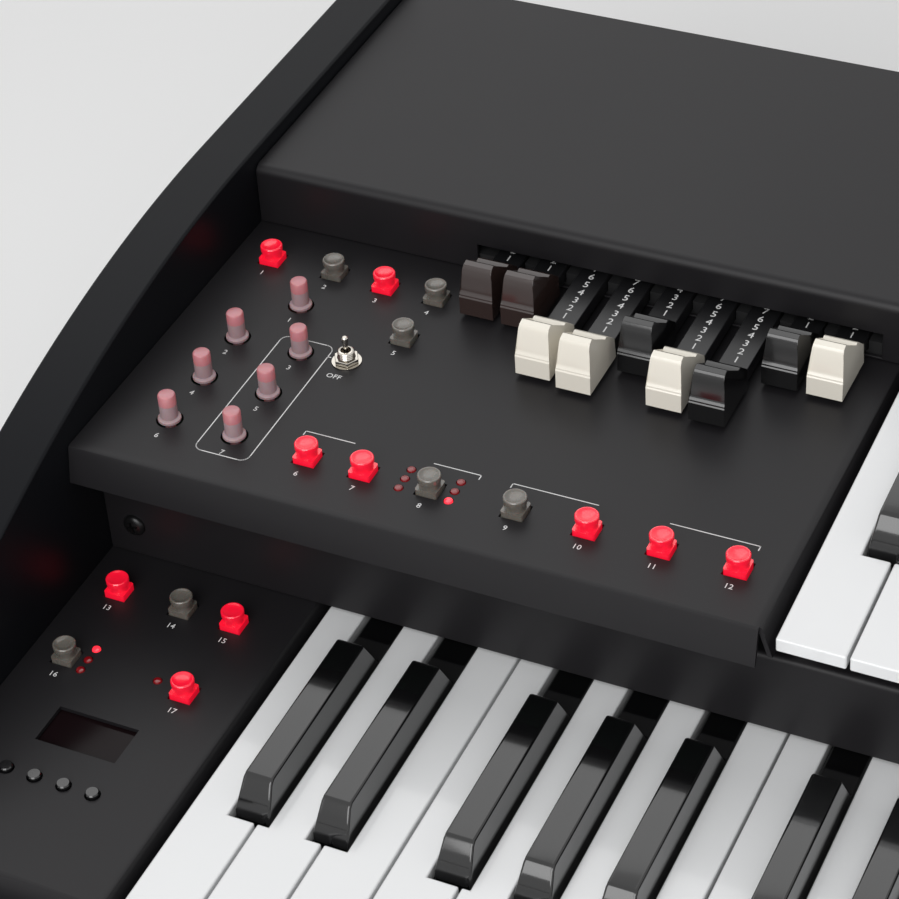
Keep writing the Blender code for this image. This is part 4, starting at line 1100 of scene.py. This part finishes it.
# The places of the controls across and along their panel, from the datum.
UPPER_BUTTONS = {
    "octave_button_upper": (-0.0678, 0.100, Glow.LIT),
    "preset_a_button_upper": (-0.0428, 0.100, Glow.DARK),
    "preset_b_button_upper": (-0.0223, 0.099, Glow.LIT),
    "manual_button_upper": (-0.0022, 0.099, Glow.DARK),
    "manual_button_lower": (-0.0030, 0.074, Glow.DARK),
    "vibrato_button_upper": (-0.0051, 0.0044, Glow.LIT),
    "vibrato_button_lower": (0.0153, 0.0044, Glow.LIT),
    "vibrato_type_button": (0.0394, 0.0044, Glow.DARK),
    "percussion_on_button": (0.0696, 0.0044, Glow.DARK),
    "percussion_soft_button": (0.0943, 0.0044, Glow.LIT),
    "percussion_fast_button": (0.1195, 0.0044, Glow.LIT),
    "percussion_third_button": (0.1449, 0.0044, Glow.LIT),
}
LOWER_BUTTONS = {
    "octave_button_lower": (-0.0690, -0.0235, Glow.LIT),
    "preset_a_button_lower": (-0.0440, -0.0235, Glow.DARK),
    "preset_b_button_lower": (-0.0243, -0.0235, Glow.LIT),
    "organ_type_button": (-0.0693, -0.0584, Glow.DARK),
    "pedals_button": (-0.0239, -0.0590, Glow.LIT),
}
KNOBS = {
    "volume_knob": (-0.0455, 0.0787),
    "click_knob": (-0.0579, 0.0544),
    "drive_level_knob": (-0.0332, 0.0544),
    "percussion_volume_knob": (-0.0579, 0.0303),
    "drive_gain_knob": (-0.0332, 0.0303),
    "assignable_knob": (-0.0579, 0.0059),
    "drive_tone_knob": (-0.0332, 0.0059),
}
LAMP_COLUMNS = (0.0295, 0.0473)
LAMP_ROWS = (0.0112, 0.0063, 0.0014)
LIT_LAMP = (LAMP_COLUMNS[-1], LAMP_ROWS[-1])
UPPER_LAMPS = [(x, y, Glow.LIT if (x, y) == LIT_LAMP else Glow.DARK) for x in LAMP_COLUMNS for y in LAMP_ROWS]
LOWER_LAMPS = [(-0.0618, -0.0514, Glow.LIT), (-0.0618, -0.0569, Glow.DARK), (-0.0618, -0.0620, Glow.DARK),
               (-0.0351, -0.0571, Glow.DARK)]
# The menu buttons, the display window (left, right, front, back) and the holes' radii.
MENU_ROW = -0.110
MENU_BUTTONS = [(x, MENU_ROW) for x in (-0.0611, -0.0505, -0.0397, -0.0290)]
DISPLAY_WINDOW = (-0.0592, -0.0294, -0.0954, -0.0794)
KNOB_HOLE = 0.0047
LAMP_HOLE = 0.0017
MENU_HOLE = 0.0027
TOGGLE_HOLE = 0.0033
# The lower manual's left end and hinge, and the upper keys' front edge, height there and tilt.
LOWER_MANUAL = (0.0, 0.030, -0.0062)
UPPER_FRONT = -0.018
UPPER_KEY_TOP = 0.057
UPPER_TILT = math.radians(3.0)


def build_panels() -> None:
    """Build both control panels."""
    rounds = [(x, y, KNOB_HOLE) for x, y in KNOBS.values()]
    rounds += [(x, y, LAMP_HOLE) for x, y, _ in UPPER_LAMPS]
    rounds.append((*TOGGLE, TOGGLE_HOLE))
    Panel("upper_panel_sheet", "upper_control_panel", left=INSIDE[0], right=0.1605, front=-0.0186,
          back=0.200, top=UPPER_TOP, flange_drop=0.0115, flange_spread=0.0037, skirt_drop=0.014,
          skirt_spread=0.0028, squares=[(x, y) for x, y, _ in UPPER_BUTTONS.values()],
          rounds=rounds, flange_back=0.1194).build()
    rounds = [(x, y, LAMP_HOLE) for x, y, _ in LOWER_LAMPS] + [(x, y, MENU_HOLE) for x, y in MENU_BUTTONS]
    Panel("lower_panel_sheet", "lower_control_panel", left=INSIDE[0], right=-0.0031, front=-0.150,
          back=0.020, top=LOWER_TOP, flange_drop=0.023, flange_spread=0.0016, skirt_drop=0.023,
          skirt_spread=0.0, squares=[(x, y) for x, y, _ in LOWER_BUTTONS.values()],
          rounds=rounds, windows=[DISPLAY_WINDOW]).build()


def build_manuals() -> None:
    """Build the lower manual level, and the upper one an octave to the right and tilted."""
    Manual("lower", *LOWER_MANUAL, tilt=0.0).build()
    across = math.cos(UPPER_TILT)
    along = math.sin(UPPER_TILT)
    hinge_y = UPPER_FRONT + Manual.length * across + Manual.depth * along
    hinge_z = UPPER_KEY_TOP + Manual.length * along - Manual.depth * across
    Manual("upper", Manual.naturals_per_octave * KEY_PITCH, hinge_y, hinge_z, UPPER_TILT).build()


def main() -> None:
    """Build the console's looks around the frame, in order."""
    logging.basicConfig(level=logging.INFO, format="%(message)s")
    Case().build()
    build_panels()
    build_manuals()
    Drawbars().build()
    Buttons().build()
    Knobs().build()
    Boards().build()
    ToggleSwitch().build()
    Print().build()
    Studio().build()


if __name__ == "__main__":
    main()
